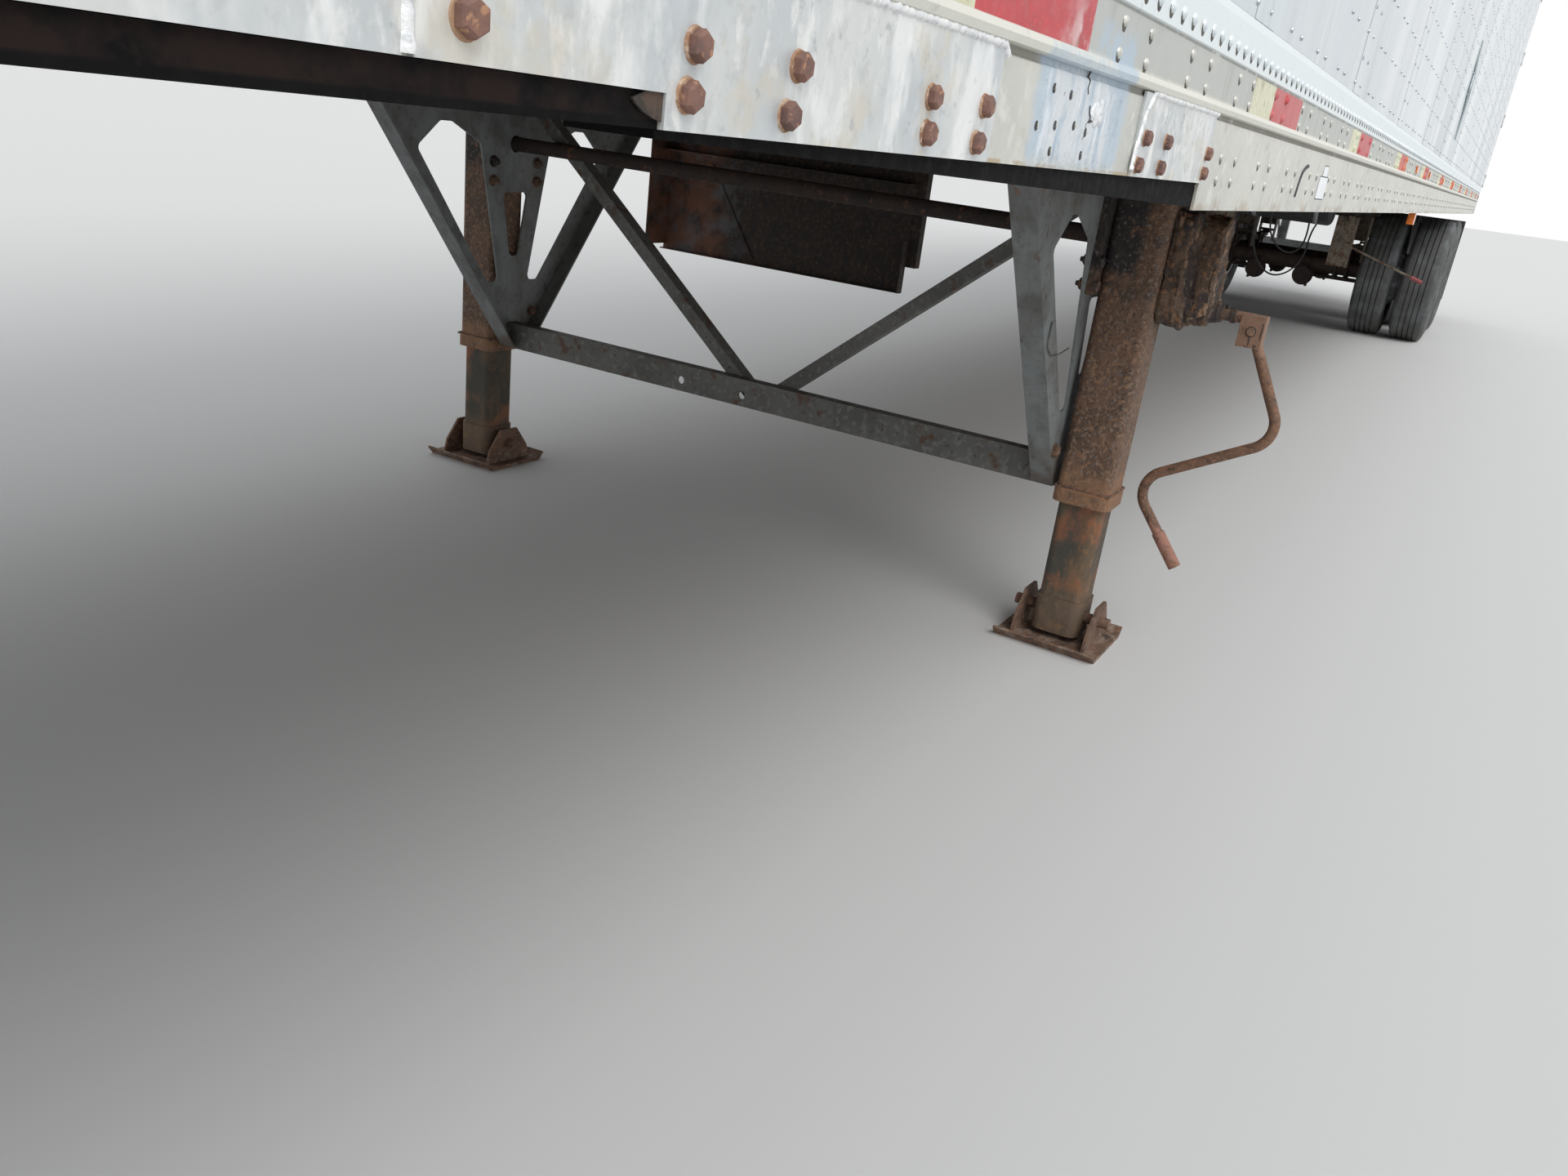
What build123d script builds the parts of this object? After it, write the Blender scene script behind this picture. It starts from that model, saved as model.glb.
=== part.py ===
# Dry van semi trailer, parked on its landing legs.
# Millimetres. +X towards the nose, +Y towards the trailer's left side, +Z up.
# The origin is on the ground under the middle of the trailer's length and width.
import os
from math import pi, tan

from build123d import *

os.makedirs("parts", exist_ok=True)

# Overall sizes
overall_length = 16154
overall_width = 2590
overall_height = 4112
nose_fitting_reach = 62
nose_x = overall_length / 2 - nose_fitting_reach
hinge_line_x = -overall_length / 2 + 14
door_face_set_back = 70
door_face_x = hinge_line_x + door_face_set_back
frame_rear_x = door_face_x + 5
half_width = overall_width / 2
rib_reach = 8
skin_y = half_width - rib_reach
seat_gap = 0.3
running_gap = 6
shaft_clearance = 0.1

# Levels above the ground
rail_bottom_z = 1083
rail_step_z = 1120
coupler_edge_z = 1138
floor_beam_bottom_z = 1138
floor_beam_height = 102
floor_thickness = 35
floor_bottom_z = floor_beam_bottom_z + floor_beam_height
floor_top_z = floor_bottom_z + floor_thickness
rail_top_z = 1281
band_top_z = 1345
top_rail_z = overall_height - 82

# Landing gear station and sizes
leg_setback = 3515
leg_x = nose_x - leg_setback
leg_y = 983
outer_tube = 130
outer_wall = 8.7
inner_tube = outer_tube - 2 * outer_wall - 2 * seat_gap
inner_wall = 7
collar_bottom_z = 362
collar_top_z = 398

# Running gear
front_axle_inset = 3378
front_axle_x = frame_rear_x + front_axle_inset
axle_spacing = 1245
axle_stations = (front_axle_x, front_axle_x - axle_spacing)
tyre_radius = 508
outer_tyre_y = 1148
dual_spacing = 343
inner_tyre_y = outer_tyre_y - dual_spacing
hub_face_y = (outer_tyre_y + inner_tyre_y) / 2
spindle_radius = 45
slider_rail_inner_y = 445
slider_rail_width = 100
slider_rail_top_z = 1048
slider_rail_height = 98
slider_front_x = axle_stations[0] + 620
slider_rear_x = axle_stations[1] - 625


def block(x_span, y_span, z_span, mode=Mode.ADD):
    """A box between two corners."""
    middle = [(low + high) / 2 for low, high in (x_span, y_span, z_span)]
    with Locations(tuple(middle)):
        Box(
            x_span[1] - x_span[0],
            y_span[1] - y_span[0],
            z_span[1] - z_span[0],
            mode=mode,
        )


def polygon_on(plane, points, amount, both=False, corner=0, mode=Mode.ADD):
    """A straight-sided profile on a plane, drawn out by an amount."""
    with BuildSketch(plane) as profile:
        with BuildLine():
            Polyline(*points, close=True)
        make_face()
        if corner:
            fillet(profile.vertices(), corner)
    extrude(profile.sketch, amount=amount, both=both, mode=mode)


def along_x(points, x_span, corner=0, mode=Mode.ADD):
    """Points are (y, z)."""
    plane = Plane.YZ.offset(x_span[0])
    polygon_on(plane, points, x_span[1] - x_span[0], corner=corner, mode=mode)


def along_y(points, y_span, corner=0, mode=Mode.ADD):
    """Points are (x, z)."""
    plane = Plane.XZ.offset(-(y_span[0] + y_span[1]) / 2)
    half = (y_span[1] - y_span[0]) / 2
    polygon_on(plane, points, half, both=True, corner=corner, mode=mode)


def round_bar(start, end, radius, mode=Mode.ADD):
    """A round bar between two points."""
    axis = Vector(*end) - Vector(*start)
    with BuildSketch(Plane(origin=start, z_dir=axis)) as section:
        Circle(radius)
    extrude(section.sketch, amount=axis.length, mode=mode)


def sided(y_low, y_high, side):
    """A span across the trailer on the left (1) or the right (-1)."""
    return (y_low, y_high) if side > 0 else (-y_high, -y_low)


def save(builder, name):
    builder.part.label = name
    export_step(builder.part, f"parts/{name}.step")


sides = {"left": 1, "right": -1}

# Floor
rail_thickness = 4
rail_inner_y = skin_y - rail_thickness
wall_thickness = 38
wall_inner_y = skin_y - wall_thickness - 2
frame_depth = 88
frame_front_x = frame_rear_x + frame_depth
front_wall_thickness = 50
front_wall_inner_x = nose_x - front_wall_thickness
floor_rear_x = frame_front_x + seat_gap
floor_front_x = front_wall_inner_x - seat_gap

with BuildPart() as floor_deck:
    block(
        (floor_rear_x, floor_front_x),
        (-wall_inner_y + seat_gap, wall_inner_y - seat_gap),
        (floor_bottom_z, floor_top_z),
    )
save(floor_deck, "floor_deck")

# Floor beams: I sections across the trailer, welded between the bottom rails
beam_pitch = 305
beam_flange = 57
beam_flange_thickness = 6
beam_web = 5
first_beam_x = floor_rear_x + beam_flange / 2 + 20
coupler_length = 1680
last_beam_limit = nose_x - 120 - coupler_length
beam_count = int((last_beam_limit - first_beam_x) / beam_pitch) + 1
beam_stations = [first_beam_x + beam_pitch * n for n in range(beam_count)]
coupler_rear_x = beam_stations[-1] + beam_flange / 2 + 20

with BuildPart() as floor_beams:
    with BuildSketch(Plane.XZ) as beam_profile:
        middle_z = floor_beam_bottom_z + floor_beam_height / 2
        with Locations(*[(x, middle_z) for x in beam_stations]):
            Rectangle(beam_web, floor_beam_height)
        flange_rise = (floor_beam_height - beam_flange_thickness) / 2
        for flange_z in (middle_z - flange_rise, middle_z + flange_rise):
            with Locations(*[(x, flange_z) for x in beam_stations]):
                Rectangle(beam_flange, beam_flange_thickness)
    extrude(beam_profile.sketch, amount=rail_inner_y - seat_gap, both=True)
save(floor_beams, "floor_beams")

# Bottom rails: deep lower web, groove, half-round rib, upper web and a raised band
rail_front_x = nose_x - 100 - seat_gap
rail_rear_x = frame_front_x + seat_gap
rail_notch_x = leg_x + 990
coupler_notch_x = leg_x + 2270
rib_z = 1220
rib_radius = 8
band_reach = 3

for name, side in sides.items():
    # Columns: y, z
    rail_outline = [
        (rail_inner_y, rail_bottom_z),
        (skin_y, rail_bottom_z),
        (skin_y, rib_z - 15),
        (skin_y - 2.5, rib_z - 13),
        (skin_y - 2.5, rib_z - rib_radius),
        (skin_y, rib_z - rib_radius),
        (skin_y + 6, rib_z - 6),
        (skin_y + rib_reach, rib_z),
        (skin_y + 6, rib_z + 6),
        (skin_y, rib_z + rib_radius),
        (skin_y, rail_top_z),
        (skin_y + band_reach, rail_top_z + 2),
        (skin_y + band_reach, band_top_z - 12),
        (skin_y, band_top_z),
        (rail_inner_y, band_top_z),
    ]
    with BuildPart() as side_rail:
        along_x([(side * y, z) for y, z in rail_outline], (rail_rear_x, rail_front_x))
        across = sided(rail_inner_y - 10, half_width + 10, side)
        block(
            (rail_notch_x, coupler_notch_x),
            across,
            (rail_bottom_z - 10, rail_step_z),
            Mode.SUBTRACT,
        )
        block(
            (coupler_notch_x, rail_front_x + 10),
            across,
            (rail_bottom_z - 10, coupler_edge_z),
            Mode.SUBTRACT,
        )
    save(side_rail, f"side_rail_{name}")

# Repair plates bolted over the lower web of the left rail
plate_thickness = 3
plate_top_z = rib_z - rib_radius - 1
# Columns: rear end x, front end x, lower edge z
repair_plates = [
    (leg_x + 985, leg_x + 1366, rail_step_z),
    (leg_x + 1812, coupler_notch_x, rail_step_z),
    (coupler_notch_x, leg_x + 2440, coupler_edge_z),
    (leg_x + 2446, nose_x - 140, coupler_edge_z),
]
with BuildPart() as rail_repair_plates:
    for rear_x, front_x, low_z in repair_plates:
        block(
            (rear_x, front_x),
            (skin_y + 0.2, skin_y + 0.2 + plate_thickness),
            (low_z, plate_top_z),
        )
save(rail_repair_plates, "rail_repair_plates")

# Side walls: skin, posts and lining as one closed panel each side
wall_front_x = nose_x - 100 - seat_gap
wall_rear_x = frame_front_x + seat_gap
for name, side in sides.items():
    # Columns: y, z
    wall_outline = [
        (wall_inner_y, floor_bottom_z),
        (rail_inner_y - seat_gap, floor_bottom_z),
        (rail_inner_y - seat_gap, band_top_z + seat_gap),
        (skin_y, band_top_z + seat_gap),
        (skin_y, top_rail_z),
        (wall_inner_y, top_rail_z),
    ]
    with BuildPart() as side_wall:
        along_x([(side * y, z) for y, z in wall_outline], (wall_rear_x, wall_front_x))
    save(side_wall, f"side_wall_{name}")

# Front wall with rounded corner posts
corner_size = 100
corner_radius = 90
with BuildPart() as front_wall:
    block(
        (front_wall_inner_x, nose_x),
        (-(skin_y - corner_size) + seat_gap, skin_y - corner_size - seat_gap),
        (coupler_edge_z + seat_gap, overall_height - 4),
    )
save(front_wall, "front_wall")

with BuildPart() as corner_posts:
    for side in sides.values():
        with BuildSketch(Plane.XY.offset(coupler_edge_z + seat_gap)) as post_section:
            with Locations((nose_x - corner_size / 2, side * (skin_y - corner_size / 2))):
                Rectangle(corner_size, corner_size)
            outer_corner = post_section.vertices().sort_by(Axis.X)[-2:]
            fillet(outer_corner.sort_by(Axis.Y)[-1 if side > 0 else 0], corner_radius)
            with Locations((nose_x - corner_size, side * (skin_y - corner_size))):
                Rectangle(
                    2 * (corner_size - front_wall_thickness),
                    2 * (corner_size - wall_thickness),
                    mode=Mode.SUBTRACT,
                )
        extrude(post_section.sketch, amount=overall_height - coupler_edge_z - 4 - seat_gap)
save(corner_posts, "corner_posts")

# Top rails and roof
roof_thickness = 40
top_rail_round = 18
with BuildPart() as top_rails:
    for side in sides.values():
        with BuildSketch(Plane.YZ.offset(wall_rear_x)) as top_section:
            with Locations((side * (skin_y + wall_inner_y) / 2, (top_rail_z + overall_height) / 2)):
                Rectangle(skin_y - wall_inner_y, overall_height - top_rail_z - seat_gap)
            top_corner = top_section.vertices().sort_by(Axis.Y)
            top_corner = (top_corner[-2:] if side > 0 else top_corner[:2]).sort_by(Axis.Z)[-1]
            # On a YZ sketch the section's own second axis is up
            fillet(top_corner, top_rail_round)
        extrude(top_section.sketch, amount=wall_front_x - wall_rear_x)
save(top_rails, "top_rails")

with BuildPart() as roof:
    block(
        (wall_rear_x, front_wall_inner_x - seat_gap),
        (-wall_inner_y + seat_gap, wall_inner_y - seat_gap),
        (overall_height - 3 - roof_thickness, overall_height - 3),
    )
save(roof, "roof")

# Rear frame: posts, header and sill round the door opening
post_width = 75
post_inner_y = skin_y - post_width
sill_bottom_z = 1098
sill_top_z = floor_top_z + 10
header_bottom_z = overall_height - 127

with BuildPart() as rear_posts:
    for side in sides.values():
        block(
            (frame_rear_x, frame_front_x),
            sided(post_inner_y, skin_y, side),
            (sill_top_z + seat_gap, header_bottom_z - seat_gap),
        )
save(rear_posts, "rear_posts")

with BuildPart() as rear_header:
    block((frame_rear_x, frame_front_x), (-skin_y, skin_y), (header_bottom_z, overall_height))
save(rear_header, "rear_header")

with BuildPart() as rear_sill:
    block((frame_rear_x, frame_front_x), (-skin_y, skin_y), (sill_bottom_z, sill_top_z))
save(rear_sill, "rear_sill")

# Rear swing doors, each with straps to five hinge pins behind the rear posts
hinge_pin_radius = 7
knuckle_radius = 13
hinge_y = half_width - knuckle_radius
door_thickness = 25
door_half_gap = 7
strap_height = 70
strap_thickness = 8
lug_height = 30
door_low_z = sill_top_z + running_gap
door_high_z = header_bottom_z - running_gap
hinge_count = 5
low_hinge_z = door_low_z + 129
hinge_pitch = (door_high_z - 149 - low_hinge_z) / (hinge_count - 1)
hinge_stations = [low_hinge_z + hinge_pitch * n for n in range(hinge_count)]
door_outer_y = post_inner_y - running_gap
rod_radius = 13.5
rod_stand_off = 27
# Distance of each locking rod from the door's free edge; the second stays by the hinged edge
rod_places = (330, door_outer_y - door_half_gap - 339)

for name, side in sides.items():
    with BuildPart() as door:
        block(
            (door_face_x, door_face_x + door_thickness),
            sided(door_half_gap, door_outer_y, side),
            (door_low_z, door_high_z),
        )
        for z in hinge_stations:
            strap_z = (z - strap_height / 2, z + strap_height / 2)
            block(
                (door_face_x - strap_thickness, door_face_x),
                sided(door_outer_y - 190, hinge_y - 4, side),
                strap_z,
            )
            block(
                (hinge_line_x, door_face_x),
                sided(hinge_y - 12, hinge_y - 4, side),
                strap_z,
            )
            with Locations((hinge_line_x, side * hinge_y, z)):
                Cylinder(knuckle_radius, strap_height)
                Cylinder(hinge_pin_radius + shaft_clearance, strap_height, mode=Mode.SUBTRACT)
    save(door, f"door_{name}")

    with BuildPart() as door_rods:
        for place in rod_places:
            rod_y = side * (door_half_gap + place)
            rod_x = door_face_x - rod_stand_off
            with BuildSketch(Plane.XY.offset(door_low_z + 4)) as rod_section:
                with Locations((rod_x, rod_y)):
                    Circle(rod_radius)
            extrude(rod_section.sketch, amount=door_high_z - door_low_z - 8)
            for z in (door_low_z + 120, door_low_z + 900, door_high_z - 900, door_high_z - 120):
                block(
                    (rod_x - rod_radius - 4, door_face_x - seat_gap),
                    (rod_y - 22, rod_y + 22),
                    (z - 20, z + 20),
                )
            block(
                (rod_x - 8, rod_x + 8),
                sided(abs(rod_y), abs(rod_y) + 300, side),
                (door_low_z + 330, door_low_z + 360),
            )
    save(door_rods, f"door_rods_{name}")

with BuildPart() as door_hinges:
    lug_reach = strap_height / 2 + lug_height
    for side in sides.values():
        for z in hinge_stations:
            for low in (z - lug_reach, z + strap_height / 2 + 1):
                block(
                    (hinge_line_x, frame_rear_x),
                    sided(hinge_y - 12, hinge_y + 4, side),
                    (low, low + lug_height - 1),
                )
                with Locations((hinge_line_x, side * hinge_y, low + (lug_height - 1) / 2)):
                    Cylinder(knuckle_radius - 1, lug_height - 1)
            with Locations((hinge_line_x, side * hinge_y, z)):
                Cylinder(hinge_pin_radius, 2 * lug_reach)
save(door_hinges, "door_hinges")

# Upper coupler: bearing plate, cross channels, side edges and side sills, with the kingpin
kingpin_setback = 914
kingpin_x = nose_x - kingpin_setback
coupler_plate = 8
coupler_front_x = nose_x - 120
coupler_bottom_z = rail_step_z
kingpin_collar_radius = 36.5
kingpin_neck_radius = 25.4
kingpin_head_radius = 35.7
kingpin_collar = 21
kingpin_neck = 36
kingpin_head = 27
coupler_rib_thickness = 8
kingpin_flange_radius = 75
kingpin_flange_thickness = 14
side_sill_rear_z = 1087
side_sill_front_z = 1115
side_sill_width = 62

with BuildPart() as upper_coupler:
    block(
        (coupler_rear_x, coupler_notch_x),
        (-rail_inner_y + seat_gap, rail_inner_y - seat_gap),
        (coupler_bottom_z, coupler_bottom_z + coupler_plate),
    )
    block(
        (coupler_notch_x, coupler_front_x),
        (-skin_y + 1, skin_y - 1),
        (coupler_bottom_z, coupler_bottom_z + coupler_plate),
    )
    for side in sides.values():
        block(
            (coupler_notch_x, coupler_front_x),
            sided(skin_y - 25, skin_y - 1, side),
            (coupler_bottom_z, coupler_edge_z - seat_gap),
        )
    coupler_top_z = floor_bottom_z
    rib_count = 6
    rib_step = (coupler_front_x - coupler_rear_x - coupler_rib_thickness) / (rib_count - 1)
    for n in range(rib_count):
        rib_x = coupler_rear_x + n * rib_step
        block(
            (rib_x, rib_x + coupler_rib_thickness),
            (-rail_inner_y + seat_gap, rail_inner_y - seat_gap),
            (coupler_bottom_z, coupler_top_z),
        )
    for y in (-430, 430):
        block(
            (coupler_rear_x, coupler_front_x),
            (y - coupler_rib_thickness / 2, y + coupler_rib_thickness / 2),
            (coupler_bottom_z, coupler_top_z),
        )
    with Locations((kingpin_x, 0, coupler_bottom_z)):
        Cylinder(kingpin_collar_radius + seat_gap, 60, mode=Mode.SUBTRACT)
    recess_height = kingpin_flange_thickness + 2
    with Locations((kingpin_x, 0, coupler_bottom_z + coupler_plate + recess_height / 2)):
        Cylinder(kingpin_flange_radius + 2, recess_height, mode=Mode.SUBTRACT)
    for side in sides.values():
        along_y(
            [
                (rail_notch_x + 2, side_sill_rear_z),
                (coupler_notch_x - 2, side_sill_front_z),
                (coupler_notch_x - 2, coupler_bottom_z - seat_gap),
                (coupler_rear_x - seat_gap, coupler_bottom_z - seat_gap),
                (coupler_rear_x - seat_gap, floor_beam_bottom_z - seat_gap),
                (rail_notch_x + 2, floor_beam_bottom_z - seat_gap),
            ],
            sided(rail_inner_y - side_sill_width, rail_inner_y - seat_gap, side),
        )
save(upper_coupler, "upper_coupler")

with BuildPart() as kingpin:
    with BuildSketch(Plane.XZ) as pin_section:
        with BuildLine():
            collar_end = coupler_bottom_z - kingpin_collar
            neck_end = collar_end - kingpin_neck
            head_end = neck_end - kingpin_head
            flange_z = coupler_bottom_z + coupler_plate + seat_gap
            Polyline(
                (0, flange_z + kingpin_flange_thickness),
                (kingpin_flange_radius, flange_z + kingpin_flange_thickness),
                (kingpin_flange_radius, flange_z),
                (kingpin_collar_radius, flange_z),
                (kingpin_collar_radius, collar_end + 4),
                (kingpin_neck_radius, collar_end),
                (kingpin_neck_radius, neck_end),
                (kingpin_head_radius, neck_end - 4),
                (kingpin_head_radius, head_end + 3),
                (kingpin_head_radius - 3, head_end),
                (0, head_end),
                close=True,
            )
        make_face()
    revolve(pin_section.sketch, Axis.Z)
kingpin.part.locate(Location((kingpin_x, 0, 0)))
save(kingpin, "kingpin")

# Landing gear: fixed square housings with a collar at the foot
leg_top_z = floor_beam_bottom_z - seat_gap
housing_corner = 20
cross_shaft_radius = 20
cross_shaft_z = 976
shaft_hole_radius = cross_shaft_radius + 4
housing_face_y = leg_y - outer_tube / 2
mount_plate_thickness = 15
mount_plate_half = 105
mount_plate_low_z = 852
bracket_thickness = 6
bracket_outer_y = housing_face_y - mount_plate_thickness - seat_gap
bracket_y = bracket_outer_y - bracket_thickness


def square_tube(y, size, wall, corner, z_span):
    """A rounded square tube standing at the landing gear station."""
    with BuildSketch(Plane.XY.offset(z_span[0])) as tube_section:
        with Locations((leg_x, y)):
            RectangleRounded(size, size, corner)
            RectangleRounded(
                size - 2 * wall, size - 2 * wall, max(corner - wall, 2), mode=Mode.SUBTRACT
            )
    extrude(tube_section.sketch, amount=z_span[1] - z_span[0])


with BuildPart() as leg_housings:
    for side in sides.values():
        square_tube(side * leg_y, outer_tube, outer_wall, housing_corner, (collar_top_z - 2, leg_top_z))
        square_tube(
            side * leg_y,
            outer_tube + 12,
            outer_wall + 6,
            housing_corner + 6,
            (collar_bottom_z, collar_top_z),
        )
        # Plate on the inboard face that the wing bracket is bolted to
        block(
            (leg_x - mount_plate_half, leg_x + mount_plate_half),
            sided(bracket_outer_y + seat_gap, housing_face_y + 1, side),
            (mount_plate_low_z, leg_top_z),
        )
        round_bar(
            (leg_x, side * (bracket_outer_y - 5), cross_shaft_z),
            (leg_x, side * housing_face_y, cross_shaft_z),
            shaft_hole_radius,
            Mode.SUBTRACT,
        )
save(leg_housings, "leg_housings")

# Extended inner legs, each held to its foot by a cross bolt
foot_bolt_z = 68
foot_bolt_radius = 14
leg_overlap = 260
# Thicker sleeve round the foot of each inner leg
sleeve_wall = 5
sleeve_z = (26, 116)
with BuildPart() as leg_tubes:
    for side in sides.values():
        square_tube(
            side * leg_y, inner_tube, inner_wall, 24, (sleeve_z[0], collar_top_z + leg_overlap)
        )
        square_tube(
            side * leg_y, inner_tube + 2 * sleeve_wall, sleeve_wall + inner_wall, 28, sleeve_z
        )
        with Locations((leg_x, side * leg_y, foot_bolt_z)):
            Cylinder(
                foot_bolt_radius + seat_gap,
                inner_tube + 30,
                rotation=(90, 0, 0),
                mode=Mode.SUBTRACT,
            )
save(leg_tubes, "leg_tubes")

# Feet: pans with upturned front and rear lips and two ears
foot_half = 130
foot_plate = 10
lip_rise = 26
lip_run = 20
ear_y = 92
ear_thickness = 8
# Columns: x, z
pan_outline = [
    (-foot_half + lip_run, 0),
    (foot_half - lip_run, 0),
    (foot_half, lip_rise - 4),
    (foot_half - 4, lip_rise),
    (foot_half - lip_run - 5, foot_plate),
    (-foot_half + lip_run + 5, foot_plate),
    (-foot_half + 4, lip_rise),
    (-foot_half, lip_rise - 4),
]
ear_outline = [(-94, 8), (94, 8), (84, 50), (36, 112), (-36, 112), (-84, 50)]
with BuildPart() as leg_feet:
    for side in sides.values():
        along_y(
            [(leg_x + x, z) for x, z in pan_outline],
            (side * leg_y - foot_half, side * leg_y + foot_half),
        )
        for offset in (-ear_y, ear_y):
            ear_middle = side * leg_y + offset
            along_y(
                [(leg_x + x, z) for x, z in ear_outline],
                (ear_middle - ear_thickness / 2, ear_middle + ear_thickness / 2),
            )
        bolt_reach = ear_y + ear_thickness / 2 + 26
        round_bar(
            (leg_x, side * leg_y - bolt_reach, foot_bolt_z),
            (leg_x, side * leg_y + bolt_reach, foot_bolt_z),
            foot_bolt_radius,
        )
save(leg_feet, "leg_feet")

# Wing brackets: pressed plates with tapered openings and folded front and rear edges
bracket_shift = -3
bracket_top_half = 616
bracket_low_half = 40
bracket_low_z = 388
bracket_top_z = floor_beam_bottom_z - seat_gap
bracket_fold = 50
window_corner = 16
# Columns: distance fore or aft of the bracket's middle, z
side_window = [(62, 580), (110, 580), (388, 954), (304, 1024), (257, 1024), (147, 972)]
middle_slot = [(-52, 840), (52, 840), (18, 655), (-18, 655)]

with BuildPart() as leg_brackets:
    middle_x = leg_x + bracket_shift
    plate_outline = [
        (middle_x - bracket_top_half, bracket_top_z),
        (middle_x + bracket_top_half, bracket_top_z),
        (middle_x + bracket_low_half, bracket_low_z),
        (middle_x - bracket_low_half, bracket_low_z),
    ]
    edge_run = bracket_thickness * 1.25
    for side in sides.values():
        plate_y = sided(bracket_y, bracket_outer_y, side)
        fold_y = sided(bracket_y - bracket_fold, bracket_y, side)
        along_y(plate_outline, plate_y)
        for way in (-1, 1):
            window = [(middle_x + way * x, z) for x, z in side_window]
            along_y(
                window, (plate_y[0] - 1, plate_y[1] + 1), corner=window_corner, mode=Mode.SUBTRACT
            )
            fold_outline = [
                (middle_x + way * bracket_top_half, bracket_top_z),
                (middle_x + way * bracket_low_half, bracket_low_z),
                (middle_x + way * (bracket_low_half - edge_run), bracket_low_z),
                (middle_x + way * (bracket_top_half - edge_run), bracket_top_z),
            ]
            along_y(fold_outline, fold_y)
        slot = [(middle_x + x, z) for x, z in middle_slot]
        along_y(slot, (plate_y[0] - 1, plate_y[1] + 1), corner=14, mode=Mode.SUBTRACT)
        with Locations((leg_x, side * bracket_y, cross_shaft_z)):
            Cylinder(shaft_hole_radius, 30, rotation=(90, 0, 0), mode=Mode.SUBTRACT)
save(leg_brackets, "leg_brackets")

# Low cross channel and two diagonals between the brackets
channel_z = (380, 455)
channel_x = (leg_x - 22, leg_x + 18)
channel_wall = 5
channel_hole_z = 411
diagonal_width = 36
diagonal_depth = 44
diagonal_rise = 0.812
# Columns: side, y of the centre line at the level of the channel's holes
diagonals = [(1, 42), (-1, 21)]
with BuildPart() as leg_brace:
    channel_half = bracket_y - seat_gap
    block(channel_x, (-channel_half, channel_half), channel_z)
    block(
        (channel_x[0] - 1, channel_x[1] - channel_wall),
        (-channel_half - 1, channel_half + 1),
        (channel_z[0] + channel_wall, channel_z[1] - channel_wall),
        Mode.SUBTRACT,
    )
    for y in (-228, -20):
        with Locations((channel_x[1], y, channel_hole_z)):
            Cylinder(11, 30, rotation=(0, 90, 0), mode=Mode.SUBTRACT)
    # Square tubes that rise behind the channel to the top of each bracket
    diagonal_x = (channel_x[0] - seat_gap - diagonal_depth, channel_x[0] - seat_gap)
    half_fall = diagonal_width / 2 * (1 + diagonal_rise**2) ** 0.5
    for side, low_y in diagonals:
        start_y = low_y - diagonal_width / 2
        start_z = channel_hole_z - diagonal_rise * diagonal_width / 2
        end_z = start_z + diagonal_rise * (channel_half - start_y)
        along_x(
            [
                (side * start_y, start_z - half_fall),
                (side * channel_half, end_z - half_fall),
                (side * channel_half, end_z + half_fall),
                (side * start_y, start_z + half_fall),
            ],
            diagonal_x,
        )
save(leg_brace, "leg_brace")

# Cross shaft between the two leg gear heads
with BuildPart() as leg_cross_shaft:
    shaft_half = housing_face_y - seat_gap
    round_bar((leg_x, -shaft_half, cross_shaft_z), (leg_x, shaft_half, cross_shaft_z), cross_shaft_radius)
save(leg_cross_shaft, "leg_cross_shaft")

# Two-speed gearbox on the outer face of the left leg
gear_inner_y = leg_y + outer_tube / 2 + seat_gap
crank_x = leg_x - 95
crank_z = 842
with BuildPart() as leg_gearbox:
    # Columns: rear x, front x, low z, high z, near y, far y, corner radius
    layers = [
        (leg_x - 138, leg_x + 34, 806, 1052, gear_inner_y, gear_inner_y + 42, 34),
        (leg_x - 150, leg_x + 4, 796, 1062, gear_inner_y + 42, gear_inner_y + 50, 40),
        (leg_x - 140, leg_x - 8, 812, 1048, gear_inner_y + 50, gear_inner_y + 102, 46),
    ]
    for rear_x, front_x, low_z, high_z, near_y, far_y, corner in layers:
        along_y(
            [(rear_x, low_z), (front_x, low_z), (front_x, high_z), (rear_x, high_z)],
            (near_y, far_y),
            corner=corner,
        )
    gear_outer_y = gear_inner_y + 102
    round_bar((crank_x, gear_outer_y - 1, crank_z), (crank_x, gear_outer_y + 14, crank_z), 24)
save(leg_gearbox, "leg_gearbox")

# Folded crank: stub shaft, fork and a bent rod hanging down with a sleeve at its end
crank_rod_radius = 12.5
fork_y = 1245
fork_half = 27
with BuildPart() as leg_crank:
    round_bar(
        (crank_x, gear_outer_y + 14 + seat_gap, crank_z),
        (crank_x, fork_y, crank_z),
        13,
    )
    block(
        (crank_x - 21, crank_x + 21),
        (fork_y - fork_half, fork_y + fork_half),
        (crank_z - 62, crank_z + 10),
    )
    with BuildLine() as crank_route:
        FilletPolyline(
            (crank_x, fork_y + 10, crank_z - 41),
            (crank_x, fork_y + 121, crank_z - 255),
            (crank_x, fork_y - 187, crank_z - 426),
            (crank_x, fork_y - 39, crank_z - 612),
            radius=62,
        )
    with BuildSketch(Plane(origin=crank_route.line @ 0, z_dir=crank_route.line % 0)) as rod_round:
        Circle(crank_rod_radius)
    sweep(rod_round.sketch, path=crank_route.line)
    rod_end = crank_route.line @ 1
    rod_way = crank_route.line % 1
    grip_start = rod_end - rod_way * 92
    round_bar(tuple(grip_start), tuple(rod_end + rod_way * 2), crank_rod_radius + 3)
save(leg_crank, "leg_crank")

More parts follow.
